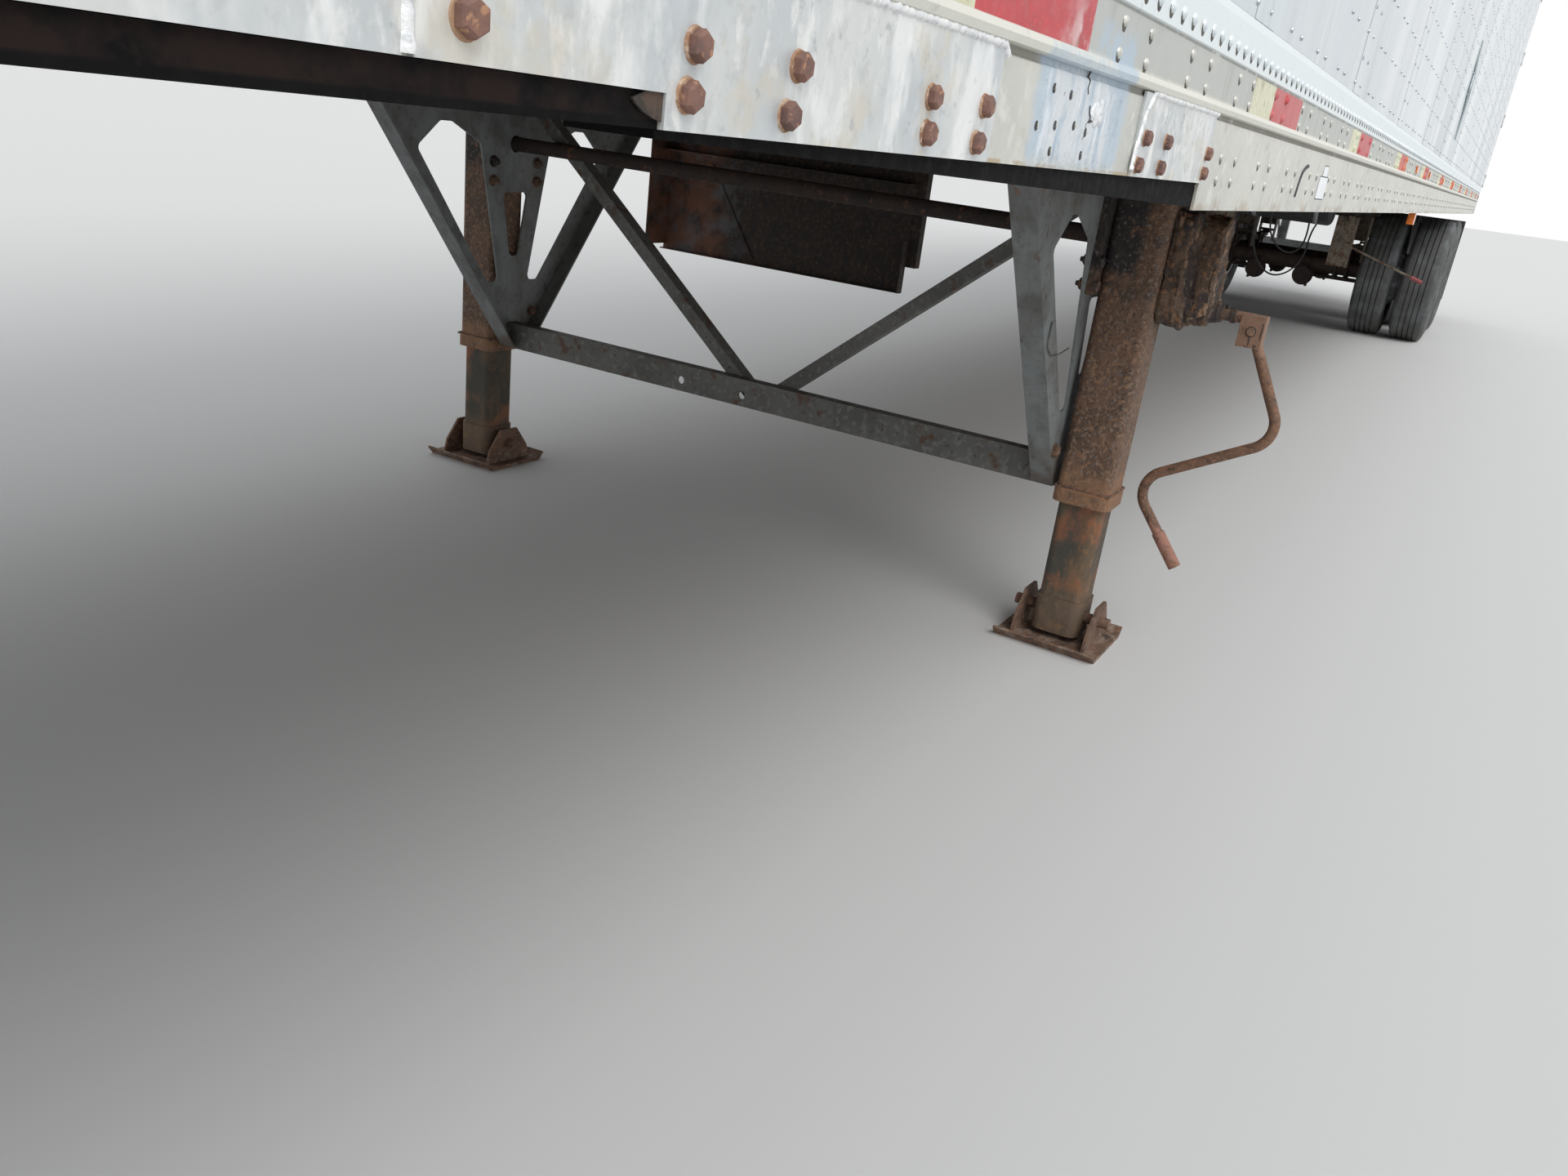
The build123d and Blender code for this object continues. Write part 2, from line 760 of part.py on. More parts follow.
# Rusted open-fronted carrier hung under the right side behind the legs
carrier_x = leg_x - 1000
carrier_low_z = 636
with BuildPart() as hanging_carrier:
    carrier_span = (-1060, -48)
    carrier_top_z = floor_beam_bottom_z - seat_gap
    block((carrier_x - 4, carrier_x), carrier_span, (carrier_low_z, carrier_top_z))
    block(
        (carrier_x, carrier_x + 118),
        (carrier_span[0], carrier_span[0] + 4),
        (carrier_low_z + 14, carrier_top_z),
    )
    block(
        (carrier_x, carrier_x + 34),
        (carrier_span[1] - 4, carrier_span[1]),
        (carrier_low_z, carrier_low_z + 170),
    )
    block(
        (carrier_x - 4, carrier_x + 22),
        carrier_span,
        (carrier_low_z - 4, carrier_low_z),
    )
    block((carrier_x, carrier_x + 60), carrier_span, (985, 989))
    along_x(
        [(-905, 960), (-865, 960), (-655, 655), (-695, 655)],
        (carrier_x, carrier_x + 5),
    )
    block(
        (carrier_x - 40, carrier_x - 4),
        (carrier_span[1], carrier_span[1] + 36),
        (720, carrier_top_z),
    )
save(hanging_carrier, "hanging_carrier")

# Body rails that the bogie is pinned to
body_rail_x = (frame_front_x + 40, front_axle_x + 2190)
body_rail_y = (slider_rail_inner_y + 14, slider_rail_inner_y + slider_rail_width - 14)
pin_hole_pitch = 152.4
pin_hole_radius = 17
pin_hole_count = 34
with BuildPart() as body_rails:
    for side in sides.values():
        block(
            body_rail_x,
            sided(*body_rail_y, side),
            (slider_rail_top_z, floor_beam_bottom_z),
        )
        block(
            (body_rail_x[0] - 1, body_rail_x[1] + 1),
            sided(body_rail_y[0] + 8, body_rail_y[1] + 1, side),
            (slider_rail_top_z + 8, floor_beam_bottom_z - 8),
            Mode.SUBTRACT,
        )
        pin_hole_z = (slider_rail_top_z + floor_beam_bottom_z) / 2
        first_hole_x = body_rail_x[0] + 180
        with Locations(
            *[
                (first_hole_x + pin_hole_pitch * n, side * body_rail_y[0], pin_hole_z)
                for n in range(pin_hole_count)
            ]
        ):
            Cylinder(pin_hole_radius, 30, rotation=(90, 0, 0), mode=Mode.SUBTRACT)
save(body_rails, "body_rails")

# Bogie frame: two rails and three cross members
slider_low_z = slider_rail_top_z - slider_rail_height
middle_station = sum(axle_stations) / 2
cross_member_width = 80
cross_member_top_z = slider_rail_top_z - 10
cross_member_stations = (slider_rear_x + 100, middle_station, slider_front_x - 100)
with BuildPart() as bogie_frame:
    for side in sides.values():
        block(
            (slider_rear_x, slider_front_x),
            sided(slider_rail_inner_y, slider_rail_inner_y + slider_rail_width, side),
            (slider_low_z, slider_rail_top_z),
        )
    for x in cross_member_stations:
        block(
            (x - cross_member_width / 2, x + cross_member_width / 2),
            (-slider_rail_inner_y, slider_rail_inner_y),
            (slider_low_z, cross_member_top_z),
        )
save(bogie_frame, "bogie_frame")

# Spring hangers under the bogie rails, with the wear pads that the springs press on
hanger_y = slider_rail_inner_y + slider_rail_width / 2
hanger_half = 78
hanger_wall = 8
spring_width = 76
leaf_thickness = 15
spring_half_x = 530
spring_arch = 34
main_leaf_z = 626
spring_tip_top_z = main_leaf_z + spring_arch + leaf_thickness
wear_pad_half = 34
wear_pad_thickness = 22
# Columns: rear x, front x at the top, rear x, front x at the foot, foot z, drop of the front plate
hangers = [
    (slider_front_x - 150, slider_front_x, slider_front_x - 150, slider_front_x, 545, 400),
    (middle_station - 120, middle_station + 120, middle_station - 70, middle_station + 70, 545, 210),
    (slider_rear_x, slider_rear_x + 150, slider_rear_x + 30, slider_rear_x + 130, 572, 210),
]
with BuildPart() as spring_hangers:
    for side in sides.values():
        for top_rear, top_front, low_rear, low_front, low_z, plate_drop in hangers:
            for wall_y in (hanger_y - hanger_half, hanger_y + hanger_half - hanger_wall):
                along_y(
                    [
                        (top_rear, slider_low_z),
                        (top_front, slider_low_z),
                        (low_front, low_z),
                        (low_rear, low_z),
                    ],
                    sided(wall_y, wall_y + hanger_wall, side),
                )
            block(
                (top_front - hanger_wall, top_front),
                sided(hanger_y - hanger_half, hanger_y + hanger_half, side),
                (slider_low_z - plate_drop, slider_low_z),
            )
        for axle_x in axle_stations:
            for tip_x in (axle_x - spring_half_x + 6, axle_x + spring_half_x - 6):
                block(
                    (tip_x - wear_pad_half, tip_x + wear_pad_half),
                    sided(hanger_y - hanger_half, hanger_y + hanger_half, side),
                    (
                        spring_tip_top_z + seat_gap,
                        spring_tip_top_z + seat_gap + wear_pad_thickness,
                    ),
                )
save(spring_hangers, "spring_hangers")

# Leaf springs from hanger to hanger over each axle end
with BuildPart() as leaf_springs:
    for axle_x in axle_stations:
        for side in sides.values():
            for n in range(3):
                reach = spring_half_x - 105 * n
                low = main_leaf_z - leaf_thickness * n
                tip = low + spring_arch * (reach / spring_half_x) ** 2
                with BuildSketch(Plane.XZ.offset(-side * hanger_y)) as leaf_section:
                    with BuildLine():
                        Polyline(
                            (axle_x - reach, tip + leaf_thickness),
                            (axle_x - reach, tip),
                            (axle_x - 120, low),
                            (axle_x + 120, low),
                            (axle_x + reach, tip),
                            (axle_x + reach, tip + leaf_thickness),
                            (axle_x + 120, low + leaf_thickness),
                            (axle_x - 120, low + leaf_thickness),
                            close=True,
                        )
                    make_face()
                extrude(leaf_section.sketch, amount=spring_width / 2, both=True)
            block(
                (axle_x - 62, axle_x + 62),
                sided(hanger_y - 46, hanger_y + 46, side),
                (main_leaf_z + leaf_thickness, main_leaf_z + leaf_thickness + 22),
            )
save(leaf_springs, "leaf_springs")

# Axle beams with spring seats and spindles
axle_radius = 63.5
spring_foot_z = main_leaf_z - 2 * leaf_thickness - seat_gap
with BuildPart() as axles:
    for axle_x in axle_stations:
        round_bar((axle_x, -742, tyre_radius), (axle_x, 742, tyre_radius), axle_radius)
        round_bar(
            (axle_x, -outer_tyre_y, tyre_radius), (axle_x, outer_tyre_y, tyre_radius), spindle_radius
        )
        for side in sides.values():
            block(
                (axle_x - 62, axle_x + 62),
                sided(hanger_y - 46, hanger_y + 46, side),
                (tyre_radius - 20, spring_foot_z),
            )
save(axles, "axles")

# Brake chambers on brackets ahead of each axle
with BuildPart() as brake_chambers:
    chamber_z = 412
    for axle_x in axle_stations:
        for side in sides.values():
            chamber_y = side * 205
            front_x = axle_x + 232
            round_bar((axle_x + 84, chamber_y, chamber_z), (front_x - 66, chamber_y, chamber_z), 78)
            round_bar((front_x - 66, chamber_y, chamber_z), (front_x - 56, chamber_y, chamber_z), 86)
            round_bar((front_x - 56, chamber_y, chamber_z), (front_x, chamber_y, chamber_z), 76)
            block(
                (axle_x + 56, axle_x + 92),
                sided(165, 245, side),
                (chamber_z - 60, tyre_radius + 8),
            )
            round_bar(
                (axle_x + 74, side * 245, chamber_z + 10),
                (axle_x + 74, side * 640, chamber_z + 10),
                17,
            )
    for axle_x in axle_stations:
        with Locations((axle_x, 0, tyre_radius)):
            Cylinder(axle_radius + seat_gap, 2000, rotation=(90, 0, 0), mode=Mode.SUBTRACT)
save(brake_chambers, "brake_chambers")

# Air tank slung under the floor beams ahead of the bogie
tank_x = beam_stations[14]
tank_z = 985
tank_radius = 118
with BuildPart() as air_tank:
    with BuildSketch(Plane.XZ.offset(-430)) as tank_section:
        with Locations((tank_x, tank_z)):
            Circle(tank_radius)
    extrude(tank_section.sketch, amount=760)
    tank_ends = air_tank.faces().sort_by(Axis.Y)
    fillet((tank_ends[0].edges() + tank_ends[-1].edges()), 40)
    for y in (-190, 290):
        block(
            (tank_x - 26, tank_x + 26),
            (y - 20, y + 20),
            (tank_z + tank_radius - 20, floor_beam_bottom_z - seat_gap),
        )
save(air_tank, "air_tank")

# Two air hoses looped from a bar under the floor beams to the bogie's front cross member
hose_radius = 7
hose_bar_x = (beam_stations[14] - 20, beam_stations[15] + 20)
hose_bar_top_z = floor_beam_bottom_z - seat_gap
hose_bar_thickness = 6
fitting_radius = 13
hose_top = (slider_front_x + 570, 1030)
member_face_x = cross_member_stations[2] + cross_member_width / 2
fitting_length = 22
hose_end_x = member_face_x + fitting_length
# Columns: x, y, z of the points between each hose's two fittings
hose_routes = {
    "air_hose_long": [
        (hose_top[0], -130, hose_top[1]),
        (hose_top[0], -130, 870),
        (-3460, -120, 680),
        (-3510, -50, 500),
        (-3570, 80, 410),
        (-3640, 210, 470),
        (-3710, 275, 620),
        (-3800, 260, 780),
        (-3880, 295, 905),
        (-3950, 300, 980),
        (hose_end_x, 300, 980),
    ],
    "air_hose_short": [
        (hose_top[0], -20, hose_top[1]),
        (hose_top[0], -20, 910),
        (-3460, -10, 770),
        (-3530, 60, 655),
        (-3600, 165, 605),
        (-3670, 240, 670),
        (-3740, 245, 780),
        (-3830, 225, 895),
        (-3930, 220, 985),
        (hose_end_x, 220, 985),
    ],
}
with BuildPart() as hose_fittings:
    block(
        hose_bar_x,
        (-150, 5),
        (hose_bar_top_z - hose_bar_thickness, hose_bar_top_z),
    )
    for route in hose_routes.values():
        top_x, top_y, top_z = route[0]
        end_x, end_y, end_z = route[-1]
        round_bar((top_x, top_y, hose_bar_top_z - 1), (top_x, top_y, top_z), fitting_radius)
        round_bar((member_face_x, end_y, end_z), (end_x, end_y, end_z), fitting_radius)
save(hose_fittings, "hose_fittings")

for name, route in hose_routes.items():
    corners = [Vector(*point) for point in route]
    runs = [after - before for before, after in zip(corners, corners[1:])]
    radii = []
    for run_in, run_out in zip(runs, runs[1:]):
        half_turn = run_in.get_angle(run_out) / 2
        radii.append(0.45 * min(run_in.length, run_out.length) / tan(half_turn * pi / 180))
    with BuildPart() as hose:
        with BuildLine() as hose_line:
            FilletPolyline(*route, radius=radii)
        with BuildSketch(Plane(origin=route[0], z_dir=runs[0])) as hose_section:
            Circle(hose_radius)
        sweep(hose_section.sketch, path=hose_line.line)
    length = sum(edge.length for edge in hose_line.edges())
    print(name, "radii", [round(radius) for radius in radii], "length", round(length))
    print(name, "volume ratio", round(hose.part.volume / (length * pi * hose_radius**2), 4))
    save(hose, name)

# Pull handle for the bogie's locking pins, with a grip at its outer end
handle_x = slider_front_x + 42
with BuildPart() as pin_handle:
    block(
        (slider_front_x + seat_gap, handle_x + 10),
        (505, 545),
        (900, 960),
    )
    block((handle_x - 6, handle_x + 6), (518, 532), (716, 930))
    round_bar((handle_x, 525, 737), (handle_x, 1090, 552), 9)
save(pin_handle, "pin_handle")

with BuildPart() as pin_handle_grip:
    grip_way = (Vector(handle_x, 1090, 552) - Vector(handle_x, 525, 737)).normalized()
    grip_from = Vector(handle_x, 1090, 552) + grip_way * seat_gap
    round_bar(tuple(grip_from), tuple(grip_from + grip_way * 95), 17)
save(pin_handle_grip, "pin_handle_grip")

# Mud flaps behind the rear tyres on arms from the bogie frame
flap_x = slider_rear_x - 170
with BuildPart() as mud_flap_arms:
    for side in sides.values():
        block(
            (flap_x - 20, slider_rear_x - seat_gap),
            sided(slider_rail_inner_y + 20, slider_rail_inner_y + 60, side),
            (slider_low_z + 20, slider_low_z + 60),
        )
        block(
            (flap_x - 20, flap_x + 20),
            sided(slider_rail_inner_y + 20, half_width - 15, side),
            (slider_low_z + 20, slider_low_z + 60),
        )
save(mud_flap_arms, "mud_flap_arms")

with BuildPart() as mud_flaps:
    for side in sides.values():
        block(
            (flap_x - 20 - seat_gap - 9, flap_x - 20 - seat_gap),
            sided(half_width - 15 - 610, half_width - 15, side),
            (slider_low_z + 60 - 760, slider_low_z + 60),
        )
save(mud_flaps, "mud_flaps")

# Rear underride guard
guard_x = frame_rear_x + 6
guard_low_z = 458
with BuildPart() as underride_guard:
    block((guard_x, guard_x + 100), (-1190, 1190), (guard_low_z, guard_low_z + 100))
    for y in (-560, 560):
        block((guard_x + 14, guard_x + 86), (y - 45, y + 45), (guard_low_z + 90, sill_bottom_z - seat_gap))
        along_y(
            [
                (guard_x + 86, guard_low_z + 130),
                (guard_x + 86, guard_low_z + 210),
                (guard_x + 620, floor_beam_bottom_z - seat_gap),
                (guard_x + 740, floor_beam_bottom_z - seat_gap),
            ],
            (y + 48 * (1 if y > 0 else -1) - 4, y + 48 * (1 if y > 0 else -1) + 4),
        )
        block(
            (guard_x + 14, guard_x + 120),
            (y + 44 * (1 if y > 0 else -1) - 8, y + 44 * (1 if y > 0 else -1) + 8),
            (guard_low_z + 110, guard_low_z + 230),
        )
save(underride_guard, "underride_guard")

# Lamps
lamp_reach = 7
# Columns: x, z of the side markers
side_marker_x = (nose_x - 260, leg_x - 2850, leg_x - 3700, leg_x - 4920, leg_x - 6140)
mid_lamp_x = leg_x - 3700
with BuildPart() as amber_lamps:
    for side in sides.values():
        for x in side_marker_x:
            block((x - 32, x + 32), sided(skin_y + seat_gap, skin_y + lamp_reach, side), (1240, 1264))
        block(
            (mid_lamp_x - 38, mid_lamp_x + 38),
            sided(rail_inner_y - 30, rail_inner_y - seat_gap, side),
            (1030, 1098),
        )
        with Locations((nose_x + 6, side * 1060, overall_height - 60)):
            Box(12 - 2 * seat_gap, 90, 34)
save(amber_lamps, "amber_lamps")

with BuildPart() as red_lamps:
    for side in sides.values():
        block(
            (floor_rear_x + 140, floor_rear_x + 204),
            sided(skin_y + seat_gap, skin_y + lamp_reach, side),
            (1240, 1264),
        )
        for y in (760, 890, 1020):
            round_bar(
                (frame_rear_x - seat_gap, side * y, 1190),
                (frame_rear_x - 12, side * y, 1190),
                52,
            )
    for y in (-1120, -165, 0, 165, 1120):
        block(
            (frame_rear_x - 12, frame_rear_x - seat_gap),
            (y - 36, y + 36),
            (overall_height - 72, overall_height - 40),
        )
save(red_lamps, "red_lamps")

# Air and electric couplings on the front wall
coupling_z = 1420
with BuildPart() as nose_couplings:
    block((nose_x + seat_gap, nose_x + 20), (-260, 260), (coupling_z - 70, coupling_z + 70))
    for y in (-190, 190):
        round_bar((nose_x + 19, y, coupling_z), (nose_x + 44, y, coupling_z), 19)
        block((nose_x + 36, nose_x + nose_fitting_reach), (y - 30, y + 30), (coupling_z - 52, coupling_z + 26))
    round_bar((nose_x + 19, 0, coupling_z), (nose_x + nose_fitting_reach - 6, 0, coupling_z), 36)
save(nose_couplings, "nose_couplings")

# Wheels: twin discs, rims, hub and drum turning together on each spindle
rim_radius = 285.7
rim_flange_radius = 297
rim_half = 112
drum_radius = 210
nut_circle = 142.9
hand_hole_circle = 222
# Columns: distance out from the hub face, radius
disc_dish = [(0, 180), (0, 191), (66, 261), (66, 272), (80, 272), (80, 258), (12, 186), (12, 180)]
# Columns: distance from the tyre's middle plane, radius
tyre_half_section = [(104, 286), (105, 300), (138, 350), (140, 440), (116, 497), (100, tyre_radius)]
wheel_places = [
    (f"{end}_{name}", axle_x, side)
    for end, axle_x in zip(("front", "rear"), axle_stations)
    for name, side in sides.items()
]

for place, axle_x, side in wheel_places:
    with BuildPart() as wheel:
        with BuildSketch(Plane.XY) as wheel_section:
            # Columns: near y, far y, low radius, high radius
            rings = [
                (880, 1196, spindle_radius + shaft_clearance, 96),
                (hub_face_y - 12, hub_face_y + 12, 90, 190),
                (outer_tyre_y - rim_half, outer_tyre_y + rim_half, 268, rim_radius),
                (inner_tyre_y - rim_half, inner_tyre_y + rim_half, 268, rim_radius),
                (outer_tyre_y + rim_half - 7, outer_tyre_y + rim_half, 268, rim_flange_radius),
                (outer_tyre_y - rim_half, outer_tyre_y - rim_half + 7, 268, rim_flange_radius),
                (inner_tyre_y + rim_half - 7, inner_tyre_y + rim_half, 268, rim_flange_radius),
                (inner_tyre_y - rim_half, inner_tyre_y - rim_half + 7, 268, rim_flange_radius),
                (760, 962, 190, drum_radius),
                (952, 962, 90, drum_radius),
                (1190, 1232, 0, 62),
            ]
            for near_y, far_y, low_r, high_r in rings:
                with Locations(((low_r + high_r) / 2, (near_y + far_y) / 2)):
                    Rectangle(high_r - low_r, far_y - near_y)
            for way in (-1, 1):
                dish = [(r, hub_face_y + way * out) for out, r in disc_dish]
                with BuildLine():
                    Polyline(*dish, close=True)
                make_face()
        revolve(wheel_section.sketch, Axis.Y)
        with Locations(Plane.XZ.offset(-hub_face_y)):
            with PolarLocations(hand_hole_circle, 10, 18):
                Cylinder(24, 80, mode=Mode.SUBTRACT)
    wheel_solid = wheel.part if side > 0 else wheel.part.mirror(Plane.XZ)
    wheel_solid = wheel_solid.moved(Location((axle_x, 0, tyre_radius)))
    wheel_solid.label = f"wheel_{place}"
    export_step(wheel_solid, f"parts/wheel_{place}.step")

    with BuildPart() as tyres:
        with BuildSketch(Plane.XY) as tyre_section:
            for tyre_y in (outer_tyre_y, inner_tyre_y):
                outline = [(r, side * tyre_y + across) for across, r in tyre_half_section]
                outline += [(r, side * tyre_y - across) for across, r in reversed(tyre_half_section)]
                with BuildLine():
                    Polyline(*outline, close=True)
                make_face()
        revolve(tyre_section.sketch, Axis.Y)
    tyre_solid = tyres.part.moved(Location((axle_x, 0, tyre_radius)))
    tyre_solid.label = f"tyres_{place}"
    export_step(tyre_solid, f"parts/tyres_{place}.step")
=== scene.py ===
import math
import random

import bmesh
import bpy
from mathutils import Matrix, Vector, noise


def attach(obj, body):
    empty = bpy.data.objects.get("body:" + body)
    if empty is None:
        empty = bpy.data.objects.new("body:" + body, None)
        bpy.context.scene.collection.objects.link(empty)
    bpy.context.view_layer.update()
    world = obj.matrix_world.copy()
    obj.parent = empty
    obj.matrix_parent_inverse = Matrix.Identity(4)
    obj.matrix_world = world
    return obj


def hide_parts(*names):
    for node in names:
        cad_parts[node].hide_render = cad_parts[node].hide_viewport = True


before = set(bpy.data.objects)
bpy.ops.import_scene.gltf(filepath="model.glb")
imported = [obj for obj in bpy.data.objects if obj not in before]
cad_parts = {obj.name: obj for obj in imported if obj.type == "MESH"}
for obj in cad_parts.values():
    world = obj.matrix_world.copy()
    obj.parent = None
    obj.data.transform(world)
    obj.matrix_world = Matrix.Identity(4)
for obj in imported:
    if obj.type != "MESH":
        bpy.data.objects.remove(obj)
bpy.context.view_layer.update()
scene = bpy.context.scene

# Camera at the photograph's own station, beside the nose and just outside the left rail
view = {
    "place": (7.3052, 1.6813, 1.1318),
    "yaw": 0.4911,
    "pitch": 0.3735,
    "roll": -0.1269,
    "focal": 1447.03,
    "imageWidth": 1920,
    "sensor": 36.0,
    "clip": (0.05, 200.0),
}


def addCamera():
    yaw, pitch, roll = view["yaw"], view["pitch"], view["roll"]
    ahead = Vector((-math.cos(yaw), -math.sin(yaw), 0.0))
    across = Vector((-math.sin(yaw), math.cos(yaw), 0.0))
    down = Vector((0.0, 0.0, -1.0))
    aim = math.cos(pitch) * ahead + math.sin(pitch) * down
    tipped = -math.sin(pitch) * ahead + math.cos(pitch) * down
    right = math.cos(roll) * across + math.sin(roll) * tipped
    below = -math.sin(roll) * across + math.cos(roll) * tipped
    data = bpy.data.cameras.new("photoCamera")
    data.sensor_width = view["sensor"]
    data.lens = view["focal"] / view["imageWidth"] * view["sensor"]
    data.clip_start, data.clip_end = view["clip"]
    camera = bpy.data.objects.new("photoCamera", data)
    turn = Matrix((right, -below, -aim)).transposed().to_4x4()
    camera.matrix_world = Matrix.Translation(view["place"]) @ turn
    scene.collection.objects.link(camera)
    scene.camera = camera


addCamera()
print("camera")

# The two air hoses hang in loops between the body and the sliding bogie
hoses = {
    "radius": 0.007,
    "long": {
        "node": "air_hose_long",
        "length": 1.547,
        "route": [
            (-3.42, -0.130, 1.030), (-3.42, -0.130, 0.870), (-3.46, -0.120, 0.680),
            (-3.51, -0.050, 0.500), (-3.57, 0.080, 0.410), (-3.64, 0.210, 0.470),
            (-3.71, 0.275, 0.620), (-3.80, 0.260, 0.780), (-3.88, 0.295, 0.905),
            (-3.95, 0.300, 0.980), (-4.028, 0.300, 0.980),
        ],
    },
    "short": {
        "node": "air_hose_short",
        "length": 1.162,
        "route": [
            (-3.42, -0.020, 1.030), (-3.42, -0.020, 0.910), (-3.46, -0.010, 0.770),
            (-3.53, 0.060, 0.655), (-3.60, 0.165, 0.605), (-3.67, 0.240, 0.670),
            (-3.74, 0.245, 0.780), (-3.83, 0.225, 0.895), (-3.93, 0.220, 0.985),
            (-4.028, 0.220, 0.985),
        ],
    },
}


def drawLine(name, route, depth, rounding, steps, order=3, radius=1.0):
    line = bpy.data.curves.new(name, "CURVE")
    line.dimensions = "3D"
    line.bevel_depth = depth
    line.bevel_resolution = rounding
    line.resolution_u = steps
    line.use_fill_caps = True
    spline = line.splines.new("NURBS")
    spline.points.add(len(route) - 1)
    for point, spot in zip(spline.points, route):
        point.co = (*spot, 1.0)
        point.radius = radius
    spline.order_u = order
    spline.use_endpoint_u = True
    piece = bpy.data.objects.new(name, line)
    scene.collection.objects.link(piece)
    return piece


def addHose(name, hose):
    piece = drawLine(name, hose["route"], 1.0, 4, 12, radius=hoses["radius"])
    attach(piece, "trailer")
    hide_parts(hose["node"])
    return piece


hosePieces = [addHose("longAirHose", hoses["long"]), addHose("shortAirHose", hoses["short"])]
print("hoses")


# Shader helpers: a socket is fed with a link or with a constant
def feed(tree, socket, value):
    if isinstance(value, bpy.types.NodeSocket):
        tree.links.new(value, socket)
    else:
        socket.default_value = value


def add(tree, kind, sockets=None, **settings):
    node = tree.nodes.new(kind)
    for key, value in settings.items():
        setattr(node, key, value)
    for key, value in (sockets or {}).items():
        feed(tree, node.inputs[key], value)
    return node


def calc(tree, operation, first, second=0.0):
    return add(tree, "ShaderNodeMath", {0: first, 1: second}, operation=operation).outputs[0]


# Plain pale studio: an even sky, one soft key lamp and a matt floor
studio = {
    "skyColour": (0.93, 0.96, 1.0, 1.0),
    "skyStrength": 0.85,
    "shownColour": (1.0, 1.0, 1.0, 1.0),
    "shownStrength": 1.0,
    "keyEnergy": 1.6,
    "keyAngle": 40.0,
    "keyTurn": (42.0, 0.0, 142.0),
    "floorColour": (0.62, 0.615, 0.60, 1.0),
    "floorRoughness": 0.9,
    "floorSize": 160.0,
}


def addSky():
    world = bpy.data.worlds.new("studioSky")
    scene.world = world
    world.use_nodes = True
    tree = world.node_tree
    tree.nodes.clear()
    lit = add(tree, "ShaderNodeBackground",
              {"Color": studio["skyColour"], "Strength": studio["skyStrength"]}).outputs[0]
    shown = add(tree, "ShaderNodeBackground",
                {"Color": studio["shownColour"], "Strength": studio["shownStrength"]}).outputs[0]
    path = add(tree, "ShaderNodeLightPath").outputs
    straight = calc(tree, "MAXIMUM", path["Is Camera Ray"], path["Is Glossy Ray"])
    through = calc(tree, "MAXIMUM", straight, path["Is Transmission Ray"])
    mix = add(tree, "ShaderNodeMixShader", {"Fac": through, 1: lit, 2: shown}).outputs[0]
    add(tree, "ShaderNodeOutputWorld", {"Surface": mix})


def addStudio():
    addSky()
    key = bpy.data.lights.new("keyLamp", "SUN")
    key.energy = studio["keyEnergy"]
    key.angle = math.radians(studio["keyAngle"])
    lamp = bpy.data.objects.new("keyLamp", key)
    lamp.rotation_euler = [math.radians(turn) for turn in studio["keyTurn"]]
    scene.collection.objects.link(lamp)

    shape = bmesh.new()
    bmesh.ops.create_grid(shape, x_segments=1, y_segments=1, size=studio["floorSize"] / 2)
    mesh = bpy.data.meshes.new("studioFloor")
    shape.to_mesh(mesh)
    shape.free()
    floor = bpy.data.objects.new("studioFloor", mesh)
    scene.collection.objects.link(floor)
    matt = bpy.data.materials.new("paleFloor")
    matt.use_nodes = True
    shader = matt.node_tree.nodes["Principled BSDF"]
    shader.inputs["Base Color"].default_value = studio["floorColour"]
    shader.inputs["Roughness"].default_value = studio["floorRoughness"]
    mesh.materials.append(matt)


addStudio()
scene.view_settings.view_transform = "Standard"
print("studio")

# Finishes lie on Object coordinates in metres; free stands for a zone's side without a limit
even = (1, 1, 1)
# upright also stretches the painted reflection streaks on the side sheets
upright = (1, 1, 0.12)   # streaks that run down
free = (None, None)
grain = {
    "broadDetail": 5.0, "broadWarp": 0.3, "broadCut": (0.36, 0.64), "fineDetail": 6.0,
    "fineShift": (3.1, 1.7, 0.4), "fineCut": (0.50, 0.66), "roughCut": (0.3, 0.7),
    "coatShift": (7.0, 2.0, 5.0), "bumpDetail": 4.0, "bumpShift": (1.3, 4.2, 2.2), "falloff": 0.6,
    "wobble": 1.2, "wobbleDetail": 4.0,
}


def tone(red, green, blue):
    def linear(value):
        value /= 255.0
        return value / 12.92 if value <= 0.04045 else ((value + 0.055) / 1.055) ** 2.4

    return (linear(red), linear(green), linear(blue), 1.0)


def spread(tree, value, low, high, bottom=0.0, top=1.0):
    sockets = {"Value": value, "From Min": low, "From Max": high, "To Min": bottom, "To Max": top}
    return add(tree, "ShaderNodeMapRange", sockets, interpolation_type="SMOOTHSTEP").outputs[0]


def cloud(tree, place, scale, detail=5.0, stretch=even, shift=(0, 0, 0), warp=0.0):
    moved = add(tree, "ShaderNodeMapping", {"Vector": place, "Scale": stretch, "Location": shift})
    sockets = {"Vector": moved.outputs[0], "Scale": scale, "Detail": detail,
               "Roughness": grain["falloff"], "Distortion": warp}
    return add(tree, "ShaderNodeTexNoise", sockets)


def blend(tree, amount, first, second, kind="FLOAT"):
    # The mix node has its numbers at sockets 2 and 3 and its colours at sockets 6 and 7
    start, end = (2, 0) if kind == "FLOAT" else (6, 2)
    sockets = {0: amount, start: first, start + 1: second}
    return add(tree, "ShaderNodeMix", sockets, data_type=kind).outputs[end]


def wobbled(tree, place, reach):
    rough = cloud(tree, place, grain["wobble"] / reach, grain["wobbleDetail"]).outputs["Color"]
    middle = (0.5, 0.5, 0.5)
    centred = add(tree, "ShaderNodeVectorMath", {0: rough, 1: middle}, operation="SUBTRACT")
    scaled = add(tree, "ShaderNodeVectorMath", {0: centred.outputs[0], "Scale": 2 * reach},
                 operation="SCALE")
    return add(tree, "ShaderNodeVectorMath", {0: place, 1: scaled.outputs[0]},
               operation="ADD").outputs[0]


